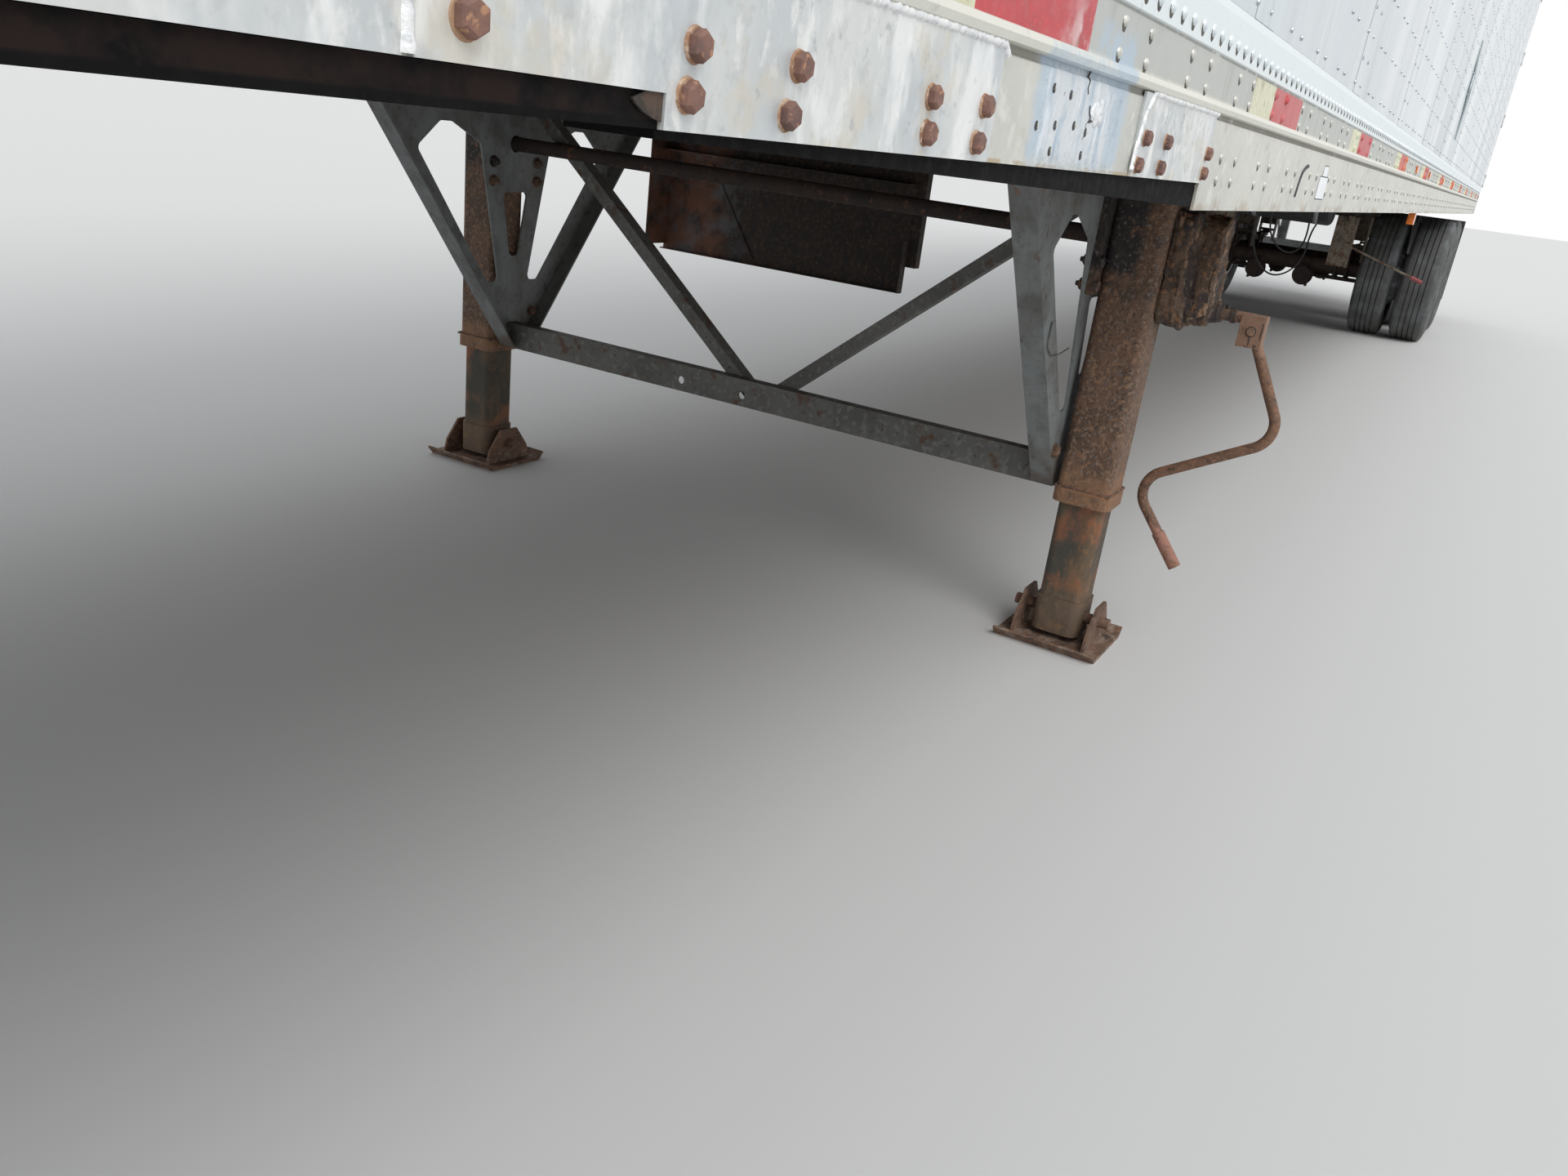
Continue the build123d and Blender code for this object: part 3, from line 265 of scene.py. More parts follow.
def zone(tree, place, x, y, z, soft=0.01, wobble=0.0, mirrored=False):
    if wobble:
        place = wobbled(tree, place, wobble)
    axes = add(tree, "ShaderNodeSeparateXYZ", {0: place})
    mask = None
    for axis, limits in zip("XYZ", (x, y, z)):
        value = axes.outputs[axis]
        if axis == "Y" and mirrored:
            value = calc(tree, "ABSOLUTE", value)
        for limit, ends in zip(limits, ((0.0, 1.0), (1.0, 0.0))):
            if limit is not None:
                part = spread(tree, value, limit - soft, limit + soft, *ends)
                mask = part if mask is None else calc(tree, "MULTIPLY", mask, part)
    return mask


def coatMask(tree, place, scale, cut, amount=1.0, x=free, y=free, z=free, soft=0.01, wobble=0.0,
             mirrored=False, detail=5.0, stretch=even, shift=grain["coatShift"], warp=0.0,
             crack=None):
    value = cloud(tree, place, scale, detail, stretch, shift, warp).outputs["Fac"]
    if crack:
        away = calc(tree, "ABSOLUTE", calc(tree, "SUBTRACT", value, 0.5))
        mask = spread(tree, away, 0.0, crack, 1.0, 0.0)
    else:
        mask = spread(tree, value, *cut)
    if (x, y, z) != (free, free, free):
        mask = calc(tree, "MULTIPLY", mask, zone(tree, place, x, y, z, soft, wobble, mirrored))
    return calc(tree, "MULTIPLY", mask, amount)


def coat(shade, *where, rough=0.75, metal=0.0, **options):
    return tone(*shade), rough, metal, where, options


def makeFinish(name, tones, broad, fine, rough, bumps, *coats, stretch=even, metal=0.0,
               fineCut=grain["fineCut"], panels=None, shader=None):
    finish = bpy.data.materials.new(name)
    finish.use_nodes = True
    tree = finish.node_tree
    surface = tree.nodes["Principled BSDF"].inputs
    place = add(tree, "ShaderNodeTexCoord").outputs["Object"]
    wide = cloud(tree, place, broad, grain["broadDetail"], stretch,
                 warp=grain["broadWarp"]).outputs["Fac"]
    close = cloud(tree, place, fine, grain["fineDetail"], stretch, grain["fineShift"])
    close = close.outputs["Fac"]
    first, second, third = (tone(*shade) for shade in tones)
    colour = blend(tree, spread(tree, wide, *grain["broadCut"]), first, second, "RGBA")
    colour = blend(tree, spread(tree, close, *fineCut), colour, third, "RGBA")
    if panels:
        start, step, shade, amount = panels
        along = add(tree, "ShaderNodeSeparateXYZ", {0: place}).outputs[0]
        number = calc(tree, "DIVIDE", calc(tree, "SUBTRACT", along, start), step)
        each = add(tree, "ShaderNodeTexWhiteNoise", {"W": calc(tree, "FLOOR", number)},
                   noise_dimensions="1D").outputs["Value"]
        colour = blend(tree, calc(tree, "MULTIPLY", each, amount), colour, tone(*shade), "RGBA")
    rough = spread(tree, close, *grain["roughCut"], *rough)
    for shade, coatRough, coatMetal, where, options in coats:
        mask = coatMask(tree, place, *where, **options)
        colour = blend(tree, mask, colour, shade, "RGBA")
        rough = blend(tree, mask, rough, coatRough)
        metal = blend(tree, mask, metal, coatMetal)
    normal = {}
    for scale, distance, *more in bumps:
        height = cloud(tree, place, scale, grain["bumpDetail"], more[0] if more else even,
                       grain["bumpShift"]).outputs["Fac"]
        if more[1:]:
            height = calc(tree, "MULTIPLY", height, zone(tree, place, *more[1:]))
        sockets = {"Height": height, "Distance": distance, "Strength": 1.0, **normal}
        normal = {"Normal": add(tree, "ShaderNodeBump", sockets).outputs["Normal"]}
    sockets = {"Base Color": colour, "Roughness": rough, "Metallic": metal, **normal}
    for socket, value in {**sockets, **(shader or {})}.items():
        feed(tree, surface[socket], value)
    finishes[name] = finish


# Each finish has three tones, its broad and fine grain, a range of roughness, bumps as scale and
# height, then coats as shade, scale, cut and amount: mostly wear, some painted light and shade
finishes = {}
makeFinish(
    "sheetMetal", ((198, 208, 213), (206, 216, 219), (215, 223, 225)), 0.9, 3.0, (0.16, 0.3),
    ((1.3, 0.01, (1, 1, 0.5)), (34, 0.0002)),
    # Painted reflections: soft upright bands over the sheets
    coat((182, 194, 203), 1.3, (0.42, 0.68), 0.35, stretch=(1, 1, 0.16), rough=0.25, metal=0.75),
    # Painted reflections: grey upright streaks towards the rear, below x 3.4 and 1.7 m up
    coat((176, 184, 190), 1.5, (0.46, 0.62), 0.8, x=(None, 3.4), z=(None, 1.7), soft=1.6,
         stretch=(1, 1, 0.14), shift=(5.0, 1.0, 3.0), detail=3.0, rough=0.3, metal=0.7, warp=0.4),
    # Painted reflections: bright white upright streaks towards the rear, below x 3.6 and 1.6 m up
    coat((248, 250, 250), 1.9, (0.47, 0.64), 0.85, x=(None, 3.6), z=(None, 1.6), soft=1.6,
         stretch=upright, shift=(2.0, 9.0, 1.0), detail=3.0, rough=0.3, metal=0.5, warp=0.3),
    coat((150, 146, 138), 26, (0.56, 0.72), 0.14, z=(None, 1.7), soft=0.4, stretch=upright),
    coat((176, 142, 98), 12, (0.0, 0.1), y=(None, 1.2475), soft=0.0004, mirrored=True, rough=0.7),
    coat((154, 120, 78), 9, (0.44, 0.66), 0.6, y=(None, 1.2475), soft=0.0004, stretch=(0.06, 1, 1),
         mirrored=True),
    stretch=(1, 1, 0.4), metal=0.75, panels=(0.3, 1.22, (177, 185, 190), 0.5))
makeFinish(
    "railMetal", ((209, 208, 199), (197, 197, 190), (220, 219, 212)), 4.0, 30, (0.34, 0.52),
    ((9, 0.0012), (120, 0.00025),
    (46, 0.0042, (1, 1, 0.6), (5.95, 6.19), (1.0, None), (1.124, 1.208), 0.014, 0.016)),
    coat((170, 164, 152), 30, (0.54, 0.72), 0.35, rough=0.6, metal=0.3),
    coat((186, 188, 184), 5, (0.2, 0.4), 0.85, z=(1.23, 1.279), soft=0.002, metal=0.45, rough=0.5),
    coat((166, 166, 160), 15, (0.52, 0.68), 0.4, z=(1.23, 1.279), soft=0.002, stretch=(1, 1, 0.2)),
    coat((228, 236, 238), 30, (0.25, 0.36), 0.9, z=(1.281, None), soft=0.001, rough=0.42,
         metal=0.4),
    coat((120, 120, 116), 40, (0.3, 0.5), 0.6, z=(1.2785, 1.2815), soft=0.0008),
    # Painted highlight along the rolled top of the rib
    coat((228, 227, 216), 40, (0.25, 0.4), 0.8, z=(1.2125, 1.2275), soft=0.002, metal=0.4,
         rough=0.38),
    # Painted shadow in the groove under the rib
    coat((134, 130, 120), 30, (0.2, 0.4), 0.8, z=(1.2045, 1.2122), soft=0.001),
    coat((160, 140, 116), 18, (0.48, 0.62), 0.5, z=(None, 1.097), stretch=(0.5, 1, 1)),
    coat((176, 158, 128), 40, (0.36, 0.5), 0.85, x=(5.49, 6.77), z=(None, 1.1235), soft=0.001,
         stretch=(0.4, 1, 1)),
    coat((178, 196, 212), 9, (0.2, 0.34), 0.75, x=(5.925, 6.215), y=(1.0, None), z=(1.124, 1.222),
         soft=0.014, wobble=0.016, rough=0.65),
    coat((178, 196, 212), 20, (0.36, 0.5), 0.7, x=(5.93, 6.06), y=(1.0, None), z=(1.215, 1.256),
         soft=0.012, wobble=0.016, rough=0.65),
    coat((210, 214, 216), 24, (0.4, 0.5), 0.95, x=(5.975, 6.175), y=(1.0, None), z=(1.124, 1.2075),
         stretch=(1, 1, 0.4), wobble=0.016, rough=0.85),
    coat((232, 235, 237), 40, (0.48, 0.64), 0.7, x=(5.95, 6.19), y=(1.0, None), z=(1.124, 1.2075),
         stretch=(1, 1, 0.35), shift=(1.0, 3.0, 9.0), wobble=0.012, rough=0.8),
    coat((166, 182, 198), 36, (0.56, 0.64), 0.7, x=(5.95, 6.19), y=(1.0, None), z=(1.124, 1.2075),
         stretch=(1, 1, 0.3), shift=(8.0, 1.0, 4.0), rough=0.8),
    coat((112, 116, 118), 70, (0.64, 0.69), 0.75, x=(5.97, 6.16), y=(1.0, None), z=(1.15, 1.206),
         soft=0.012, rough=0.8),
    metal=0.45)
makeFinish(
    "plateMetal", ((214, 216, 213), (198, 202, 203), (229, 230, 227)), 9.0, 60, (0.36, 0.54),
    ((80, 0.0004, (1, 1, 0.25)), (10, 0.002)),
    coat((192, 199, 205), 13, (0.46, 0.66), 0.5, stretch=(1, 1, 0.5), metal=0.4),
    coat((186, 188, 187), 62, (0.5, 0.66), 0.5, shift=(9.0, 3.0, 2.0), metal=0.3),
    coat((206, 196, 176), 15, (0.54, 0.66), 0.5, shift=(2.0, 6.0, 3.0)),
    # Painted highlights: white streaks on the repair plates
    coat((243, 243, 241), 20, (0.52, 0.68), 0.7, stretch=(1, 1, 0.4), shift=(4.0, 3.0, 1.0),
         metal=0.3),
    coat((150, 154, 158), 50, (0.62, 0.69), 0.4, shift=(4.0, 3.0, 7.0)),
    stretch=(1, 1, 0.5), metal=0.4)
makeFinish("weldMetal", ((244, 244, 243), (230, 231, 232), (206, 208, 210)), 60, 200, (0.4, 0.6),
           ((260, 0.0008),), metal=0.4)
makeFinish("rivetMetal", ((204, 203, 195), (190, 190, 183), (218, 217, 209)), 12, 160, (0.32, 0.5),
           ((300, 0.0002),), metal=0.5)
makeFinish("brightRivet", ((226, 233, 236), (212, 221, 226), (240, 243, 244)), 12, 160,
           (0.28, 0.45), ((300, 0.0002),), metal=0.5)
# Painted shade: the sheet rivets are darker than the sheet so they read as shaded marks
makeFinish("sheetRivet", ((176, 184, 190), (158, 166, 172), (196, 202, 206)), 12, 160, (0.24, 0.4),
           ((300, 0.0002),), metal=0.6)
# Painted shade: the dark domes set just below the rivets; the label rim uses this finish too
makeFinish("rivetShadeAndRim", ((88, 84, 78), (74, 71, 66), (112, 108, 100)), 14, 160, (0.6, 0.8),
           ((300, 0.0002),))
makeFinish(
    "postMetal", ((199, 203, 206), (192, 196, 200), (204, 207, 209)), 1.2, 6, (0.37, 0.43),
    ((1.0, 0.005), (80, 0.0003)),
    coat((150, 146, 138), 16, (0.56, 0.74), 0.3, stretch=upright, rough=0.45, metal=0.5),
    stretch=(1, 1, 0.2), metal=0.7)
makeFinish(
    "roofMetal", ((196, 200, 203), (187, 191, 195), (204, 206, 208)), 0.7, 8, (0.4, 0.6),
    ((1.2, 0.012, (0.4, 1, 1)), (40, 0.0004)),
    coat((156, 153, 146), 1.6, (0.48, 0.74), 0.5, stretch=(1, 0.3, 1)),
    coat((140, 134, 124), 22, (0.62, 0.76), 0.3),
    stretch=(1, 0.4, 1), metal=0.6)
makeFinish(
    "zincSteel", ((160, 162, 162), (140, 144, 146), (182, 184, 184)), 9, 60, (0.42, 0.62),
    ((70, 0.0005),),
    coat((112, 76, 52), 28, (0.6, 0.7), 0.8),
    metal=0.6)
makeFinish(
    "greyBracket", ((100, 101, 98), (116, 118, 116), (80, 79, 75)), 9, 55, (0.5, 0.72),
    ((60, 0.0007), (240, 0.0003)),
    coat((138, 143, 144), 18, (0.4, 0.6), 0.55, x=(4.49, None), z=(0.42, 1.05), soft=0.05,
         stretch=(1, 1, 0.5), wobble=0.03),
    coat((108, 88, 70), 34, (0.62, 0.7), 0.6),
    coat((96, 68, 50), 26, (0.44, 0.58), 0.4, z=(None, 0.47), soft=0.05, stretch=(1, 1, 0.3)),
    coat((126, 84, 56), 30, (0.6, 0.66), 0.8, z=(1.05, None), soft=0.04, stretch=(1, 1, 0.4)),
    fineCut=(0.56, 0.72))
makeFinish(
    "greyBrace", ((104, 103, 99), (88, 87, 84), (122, 121, 116)), 7, 50, (0.55, 0.78),
    ((70, 0.0008), (220, 0.0003)),
    coat((92, 64, 46), 22, (0.57, 0.68), 0.8),
    coat((60, 56, 52), 70, (0.6, 0.7), 0.8))
makeFinish(
    "legRust", ((110, 84, 66), (86, 67, 54), (136, 106, 84)), 13, 90, (0.7, 0.92),
    ((90, 0.0018), (260, 0.0008), (22, 0.002)),
    coat((34, 34, 36), 12, (0.3, 0.44), 0.94, x=(4.54, None), y=(None, 0.996), z=(0.905, None),
         soft=0.012, wobble=0.022),
    coat((64, 56, 50), 18, (0.5, 0.62), 0.7, z=(0.82, None), soft=0.12, wobble=0.04),
    coat((142, 102, 74), 24, (0.63, 0.72), 0.6),
    coat((134, 128, 121), 120, (0.57, 0.65), 0.65, shift=(2.0, 2.0, 9.0)),
    coat((62, 52, 46), 120, (0.56, 0.62), 0.8, shift=(5.0, 5.0, 2.0)),
    coat((104, 92, 88), 46, (0.6, 0.7), 0.7, shift=(1.0, 9.0, 4.0)),
    coat((140, 96, 66), 50, (0.35, 0.55), 0.7, z=(0.392, 0.404), soft=0.002),
    coat((146, 108, 78), 30, (0.3, 0.55), 0.6, z=(None, 0.44), soft=0.02),
    fineCut=(0.5, 0.62))
makeFinish(
    "innerTube", ((106, 88, 68), (90, 76, 60), (128, 100, 74)), 9, 90, (0.66, 0.9),
    ((80, 0.0014), (240, 0.0006)),
    coat((54, 58, 55), 8, (0.42, 0.6), 0.8, z=(0.13, None), soft=0.04, stretch=(1, 1, 0.4),
         shift=(2.0, 6.0, 1.0), wobble=0.04),
    coat((156, 94, 58), 10, (0.44, 0.62), 0.85, z=(0.28, None), soft=0.03, stretch=(1, 1, 0.6),
         wobble=0.05),
    coat((142, 94, 62), 12, (0.46, 0.62), 0.7, z=(0.12, 0.2), soft=0.03, shift=(6.0, 1.0, 3.0),
         wobble=0.04),
    coat((150, 100, 66), 55, (0.62, 0.7), 0.7),
    coat((100, 83, 70), 24, (0.4, 0.6), 0.8, z=(None, 0.12), soft=0.03),
    stretch=(1, 1, 0.5))
makeFinish(
    "footRust", ((112, 86, 70), (88, 69, 58), (136, 106, 86)), 18, 90, (0.72, 0.92),
    ((110, 0.0012), (300, 0.0005)),
    coat((146, 130, 114), 24, (0.46, 0.62), 0.75, z=(None, 0.035), soft=0.012),
    coat((140, 84, 56), 50, (0.58, 0.68), 0.8),
    coat((54, 46, 43), 36, (0.58, 0.66), 0.8, shift=(1.0, 4.0, 8.0)))
makeFinish(
    "gearRust", ((100, 80, 64), (68, 55, 47), (136, 100, 72)), 22, 80, (0.75, 0.95),
    ((90, 0.003), (240, 0.0012)),
    coat((50, 43, 43), 15, (0.5, 0.58), 0.85, stretch=(1, 1, 0.35), shift=(3.0, 8.0, 1.0)),
    coat((166, 132, 102), 24, (0.55, 0.63), 0.8, stretch=(1, 1, 0.35)),
    coat((30, 25, 24), 14, None, 0.9, crack=0.012, warp=1.0),
    coat((128, 116, 104), 90, (0.58, 0.68), 0.6))
makeFinish(
    "crankRust", ((124, 92, 71), (100, 75, 60), (146, 108, 82)), 20, 120, (0.62, 0.85),
    ((150, 0.0009), (400, 0.0004)),
    coat((70, 63, 58), 30, (0.3, 0.55), 0.8, y=(None, 1.204), z=(0.82, None)),
    coat((134, 105, 87), 30, (0.3, 0.5), 0.75, y=(1.205, None), z=(0.765, None), soft=0.006),
    coat((166, 118, 104), 40, (0.35, 0.55), 0.7, y=(1.06, 1.26), z=(None, 0.325), soft=0.012),
    coat((60, 46, 42), 44, (0.58, 0.67), 0.8))
makeFinish(
    "blackRust", ((42, 36, 34), (56, 44, 39), (74, 56, 47)), 14, 80, (0.75, 0.95),
    ((80, 0.002), (260, 0.0008)),
    coat((104, 66, 46), 42, (0.6, 0.68), 0.8),
    fineCut=(0.56, 0.68))
makeFinish(
    "carrierRust", ((52, 43, 39), (40, 35, 33), (74, 57, 48)), 8, 60, (0.75, 0.95),
    ((60, 0.0018), (240, 0.0008)),
    coat((88, 70, 57), 70, (0.5, 0.66), 0.6),
    coat((32, 28, 27), 20, (0.52, 0.62), 0.8, shift=(3.0, 1.0, 8.0)),
    coat((118, 78, 58), 14, (0.3, 0.6), 0.85, y=(None, -0.8), soft=0.06, wobble=0.05),
    coat((96, 102, 106), 9, (0.48, 0.68), 0.6, y=(None, -0.7), soft=0.06, shift=(4.0, 4.0, 1.0)))
makeFinish(
    "darkFrame", ((50, 46, 43), (64, 56, 50), (86, 70, 60)), 6, 50, (0.7, 0.9),
    ((60, 0.0012), (220, 0.0005)),
    coat((104, 70, 50), 24, (0.6, 0.7), 0.8),
    coat((110, 102, 92), 16, (0.54, 0.72), 0.45),
    fineCut=(0.55, 0.68))
makeFinish(
    "hangerPaint", ((132, 122, 108), (108, 96, 84), (152, 140, 122)), 11, 60, (0.62, 0.85),
    ((80, 0.0012),),
    coat((96, 66, 48), 26, (0.5, 0.62), 0.9))
makeFinish("springSteel", ((72, 60, 54), (56, 48, 45), (98, 76, 62)), 12, 90, (0.7, 0.9),
           ((130, 0.001),))
makeFinish(
    "blackPaint", ((38, 38, 40), (48, 48, 50), (66, 64, 62)), 7, 45, (0.4, 0.65),
    ((60, 0.0004), (260, 0.0002)),
    coat((104, 74, 56), 30, (0.64, 0.72), 0.8),
    coat((112, 106, 98), 9, (0.52, 0.74), 0.4),
    fineCut=(0.56, 0.7))
makeFinish(
    "wheelPaint", ((176, 178, 182), (158, 160, 164), (194, 195, 197)), 9, 70, (0.38, 0.58),
    ((90, 0.0003),),
    coat((116, 96, 80), 28, (0.58, 0.7), 0.75),
    coat((132, 124, 114), 12, (0.48, 0.7), 0.5),
    metal=0.35)
makeFinish(
    "tyreRubber", ((70, 71, 70), (82, 83, 81), (98, 98, 95)), 6, 60, (0.7, 0.88),
    ((120, 0.0006), (380, 0.0002)),
    # Painted sheen: bluish grey patches on the rubber
    coat((116, 121, 124), 7, (0.46, 0.66), 0.45, rough=0.6),
    coat((120, 112, 102), 20, (0.44, 0.66), 0.65, z=(None, 0.1), soft=0.09),
    fineCut=(0.54, 0.7))
makeFinish(
    "flapRubber", ((40, 40, 41), (50, 50, 51), (68, 67, 66)), 5, 50, (0.66, 0.86), ((70, 0.0008),),
    coat((110, 102, 92), 10, (0.46, 0.7), 0.5),
    stretch=(1, 1, 0.4))
makeFinish("hoseRubber", ((38, 38, 40), (48, 48, 50), (70, 68, 66)), 14, 120, (0.5, 0.72),
           ((220, 0.0003),))
makeFinish(
    "floorWood", ((134, 100, 68), (112, 82, 56), (154, 120, 84)), 14, 60, (0.62, 0.85),
    ((70, 0.0008, (0.05, 1, 1)),),
    coat((78, 60, 46), 14, None, crack=0.006, stretch=(0.004, 2, 1)),
    coat((96, 84, 72), 4, (0.5, 0.7), 0.6),
    stretch=(0.06, 1, 1))
makeFinish(
    "doorPanel", ((216, 218, 220), (206, 209, 213), (225, 226, 227)), 1.5, 14, (0.3, 0.5),
    ((3, 0.002),),
    coat((160, 153, 142), 16, (0.56, 0.74), 0.45, stretch=upright),
    coat((166, 140, 104), 12, (0.0, 0.1), x=(-7.9702, None), soft=0.0004),
    coat((142, 114, 80), 9, (0.44, 0.66), 0.6, x=(-7.9702, None), soft=0.0004,
         stretch=(1, 1, 0.06)),
    stretch=(1, 1, 0.3))
makeFinish(
    "pinSteel", ((150, 148, 144), (126, 122, 118), (172, 170, 166)), 20, 120, (0.3, 0.5),
    ((160, 0.0003),),
    coat((60, 50, 42), 30, (0.5, 0.64), 0.8),
    metal=0.7)
# Near-black tones: partly the dark rusty steel, partly painted shade under the body
makeFinish(
    "couplerSteel", ((17, 16, 17), (12, 12, 13), (32, 27, 25)), 8, 60, (0.7, 0.9),
    ((50, 0.0012), (220, 0.0005)),
    coat((34, 31, 30), 7, (0.44, 0.58), 0.9, x=(6.5, 7.8), y=(-0.6, 0.6), z=(None, 1.123),
         soft=0.12, rough=0.35),
    coat((38, 28, 26), 24, (0.36, 0.56), 0.9, x=(6.765, None), y=(1.2, None), z=(1.1245, None),
         soft=0.001, mirrored=True),
    fineCut=(0.56, 0.7), shader={"Specular IOR Level": 0.12})
makeFinish("boltRust", ((134, 98, 84), (104, 78, 72), (176, 132, 104)), 40, 150, (0.55, 0.8),
           ((180, 0.0005), (420, 0.0003)), fineCut=(0.56, 0.66))
makeFinish("washerRust", ((176, 142, 114), (146, 108, 82), (202, 180, 158)), 60, 170, (0.7, 0.9),
           ((260, 0.0006),))
# Dark grey for the cracks and the scuff, and painted shade for the dents
makeFinish("markAndShadeGrey", ((70, 70, 72), (54, 54, 57), (100, 100, 100)), 60, 200, (0.7, 0.9),
           ((300, 0.0003),))
makeFinish(
    "clevisRust", ((128, 100, 80), (106, 83, 68), (150, 120, 98)), 26, 120, (0.62, 0.85),
    ((150, 0.0008), (400, 0.0004)),
    coat((70, 56, 50), 44, (0.58, 0.67), 0.7))
makeFinish(
    "redTape", ((190, 42, 52), (174, 36, 46), (202, 68, 74)), 20, 120, (0.3, 0.5),
    ((500, 0.00008),),
    coat((232, 214, 212), 24, (0.42, 0.56), 0.9, x=(5.9, 6.15), z=(None, 1.262), soft=0.035,
         wobble=0.03),
    coat((204, 142, 140), 14, (0.3, 0.55), 0.6, x=(-7.7, 5.3), soft=0.2),
    coat((222, 136, 84), 11, (0.47, 0.56), 0.85, x=(-7.7, 2.6), soft=0.5),
    coat((150, 130, 120), 40, (0.6, 0.72), 0.7))
makeFinish(
    "paleTape", ((214, 213, 182), (202, 200, 170), (226, 224, 204)), 20, 120, (0.35, 0.55),
    ((500, 0.00008),),
    coat((150, 136, 116), 34, (0.56, 0.72), 0.7))
makeFinish("whiteLabel", ((244, 245, 246), (236, 238, 240), (226, 228, 230)), 30, 150, (0.4, 0.6),
           ((300, 0.00008),))
makeFinish("amberLens", ((222, 118, 30), (204, 98, 22), (232, 140, 52)), 20, 160, (0.12, 0.3),
           ((260, 0.0004, (6, 1, 1)),), shader={"Coat Weight": 0.5, "Coat Roughness": 0.1})
makeFinish("redLens", ((176, 20, 24), (150, 14, 20), (196, 44, 44)), 20, 160, (0.12, 0.3),
           ((260, 0.0004, (1, 6, 1)),), shader={"Coat Weight": 0.5, "Coat Roughness": 0.1})
makeFinish("redGrip", ((152, 78, 82), (132, 66, 70), (172, 98, 98)), 30, 160, (0.5, 0.7),
           ((200, 0.0003),))
# Painted shade for the dark inside of openings: the sheet's tear and the rear plate holes
makeFinish("paintedHoleShade", ((26, 25, 26), (34, 32, 32), (44, 42, 40)), 20, 90, (0.7, 0.9),
           ((160, 0.0004),))
makeFinish("sealRubber", ((34, 34, 36), (44, 44, 46), (60, 60, 60)), 12, 90, (0.55, 0.8),
           ((200, 0.0003),))

nodeFinishes = {
    "sheetMetal": ["side_wall_left", "side_wall_right"],
    "postMetal": ["front_wall", "corner_posts", "rear_posts"],
    "railMetal": ["side_rail_left", "side_rail_right"],
    "rivetMetal": ["top_rails"],
    "plateMetal": ["rail_repair_plates"],
    "roofMetal": ["roof"],
    "zincSteel": ["rear_header", "rear_sill", "door_rods_left", "door_rods_right", "door_hinges",
                  "underride_guard"],
    "doorPanel": ["door_left", "door_right"],
    "floorWood": ["floor_deck"],
    "darkFrame": ["floor_beams", "body_rails", "bogie_frame", "hose_fittings"],
    "couplerSteel": ["upper_coupler"],
    "pinSteel": ["kingpin"],
    "legRust": ["leg_housings"],
    "innerTube": ["leg_tubes"],
    "footRust": ["leg_feet"],
    "greyBracket": ["leg_brackets"],
    "greyBrace": ["leg_brace"],
    "blackRust": ["leg_cross_shaft", "brake_chambers"],
    "gearRust": ["leg_gearbox"],
    "crankRust": ["leg_crank"],
    "carrierRust": ["hanging_carrier"],
    "hangerPaint": ["spring_hangers", "pin_handle"],
    "springSteel": ["leaf_springs", "axles"],
    "blackPaint": ["air_tank", "mud_flap_arms", "nose_couplings"],
    "redGrip": ["pin_handle_grip"],
    "flapRubber": ["mud_flaps"],
    "amberLens": ["amber_lamps"],
    "redLens": ["red_lamps"],
    "wheelPaint": ["wheel_front_left", "wheel_front_right", "wheel_rear_left", "wheel_rear_right"],
}
for finishName, nodeNames in nodeFinishes.items():
    for nodeName in nodeNames:
        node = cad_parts[nodeName]
        if not node.material_slots:
            node.data.materials.append(None)
        for holder in node.material_slots:
            holder.material = finishes[finishName]
for piece in hosePieces:
    piece.data.materials.append(finishes["hoseRubber"])
print("finishes")


# Small shape helpers for the fitted pieces
def facing(direction):
    return Vector(direction).to_track_quat("Z", "Y").to_matrix().to_4x4()


def addPiece(name, shape, finish, body="trailer", sharp=38.0):
    bmesh.ops.recalc_face_normals(shape, faces=shape.faces)
    mesh = bpy.data.meshes.new(name)
    shape.to_mesh(mesh)
    shape.free()
    mesh.materials.append(finishes[finish])
    mesh.shade_smooth()
    mesh.set_sharp_from_angle(angle=math.radians(sharp))
    piece = bpy.data.objects.new(name, mesh)
    scene.collection.objects.link(piece)
    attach(piece, body)
    return piece


def settled(piece):
    bpy.context.view_layer.update()
    graph = bpy.context.evaluated_depsgraph_get()
    return bpy.data.meshes.new_from_object(piece.evaluated_get(graph))


def settle(piece):
    mesh = settled(piece)
    piece.modifiers.clear()
    piece.data = mesh


def repeat(piece, *rows):
    for count, step in rows:
        array = piece.modifiers.new("repeat", "ARRAY")
        array.count = count
        array.use_relative_offset = False
        array.use_constant_offset = True
        array.constant_offset_displace = step
    settle(piece)
    return piece


def addBlock(shape, low, high, bevel=0.0, segments=2):
    low, high = Vector(low), Vector(high)
    size = Matrix.Diagonal((*(high - low), 1.0))
    place = Matrix.Translation((low + high) / 2) @ size
    made = bmesh.ops.create_cube(shape, size=1.0, matrix=place)
    if bevel:
        edges = list({edge for vert in made["verts"] for edge in vert.link_edges})
        bmesh.ops.bevel(shape, geom=edges, offset=bevel, offset_type="OFFSET", segments=segments,
                        affect="EDGES", profile=0.5, material=-1, clamp_overlap=True)


def addSideBlock(shape, side, x, y, z, bevel=0.0, segments=2):
    # x, y and z are pairs of limits; y is measured outward from the middle on either side
    near, far = sorted((side * y[0], side * y[1]))
    addBlock(shape, (x[0], near, z[0]), (x[1], far, z[1]), bevel, segments)


def addDome(shape, at, direction, radius, height, around=10, rings=6):
    squash = Matrix.Diagonal((1.0, 1.0, height / radius, 1.0))
    bmesh.ops.create_uvsphere(shape, u_segments=around, v_segments=rings, radius=radius,
                              matrix=Matrix.Translation(at) @ facing(direction) @ squash)


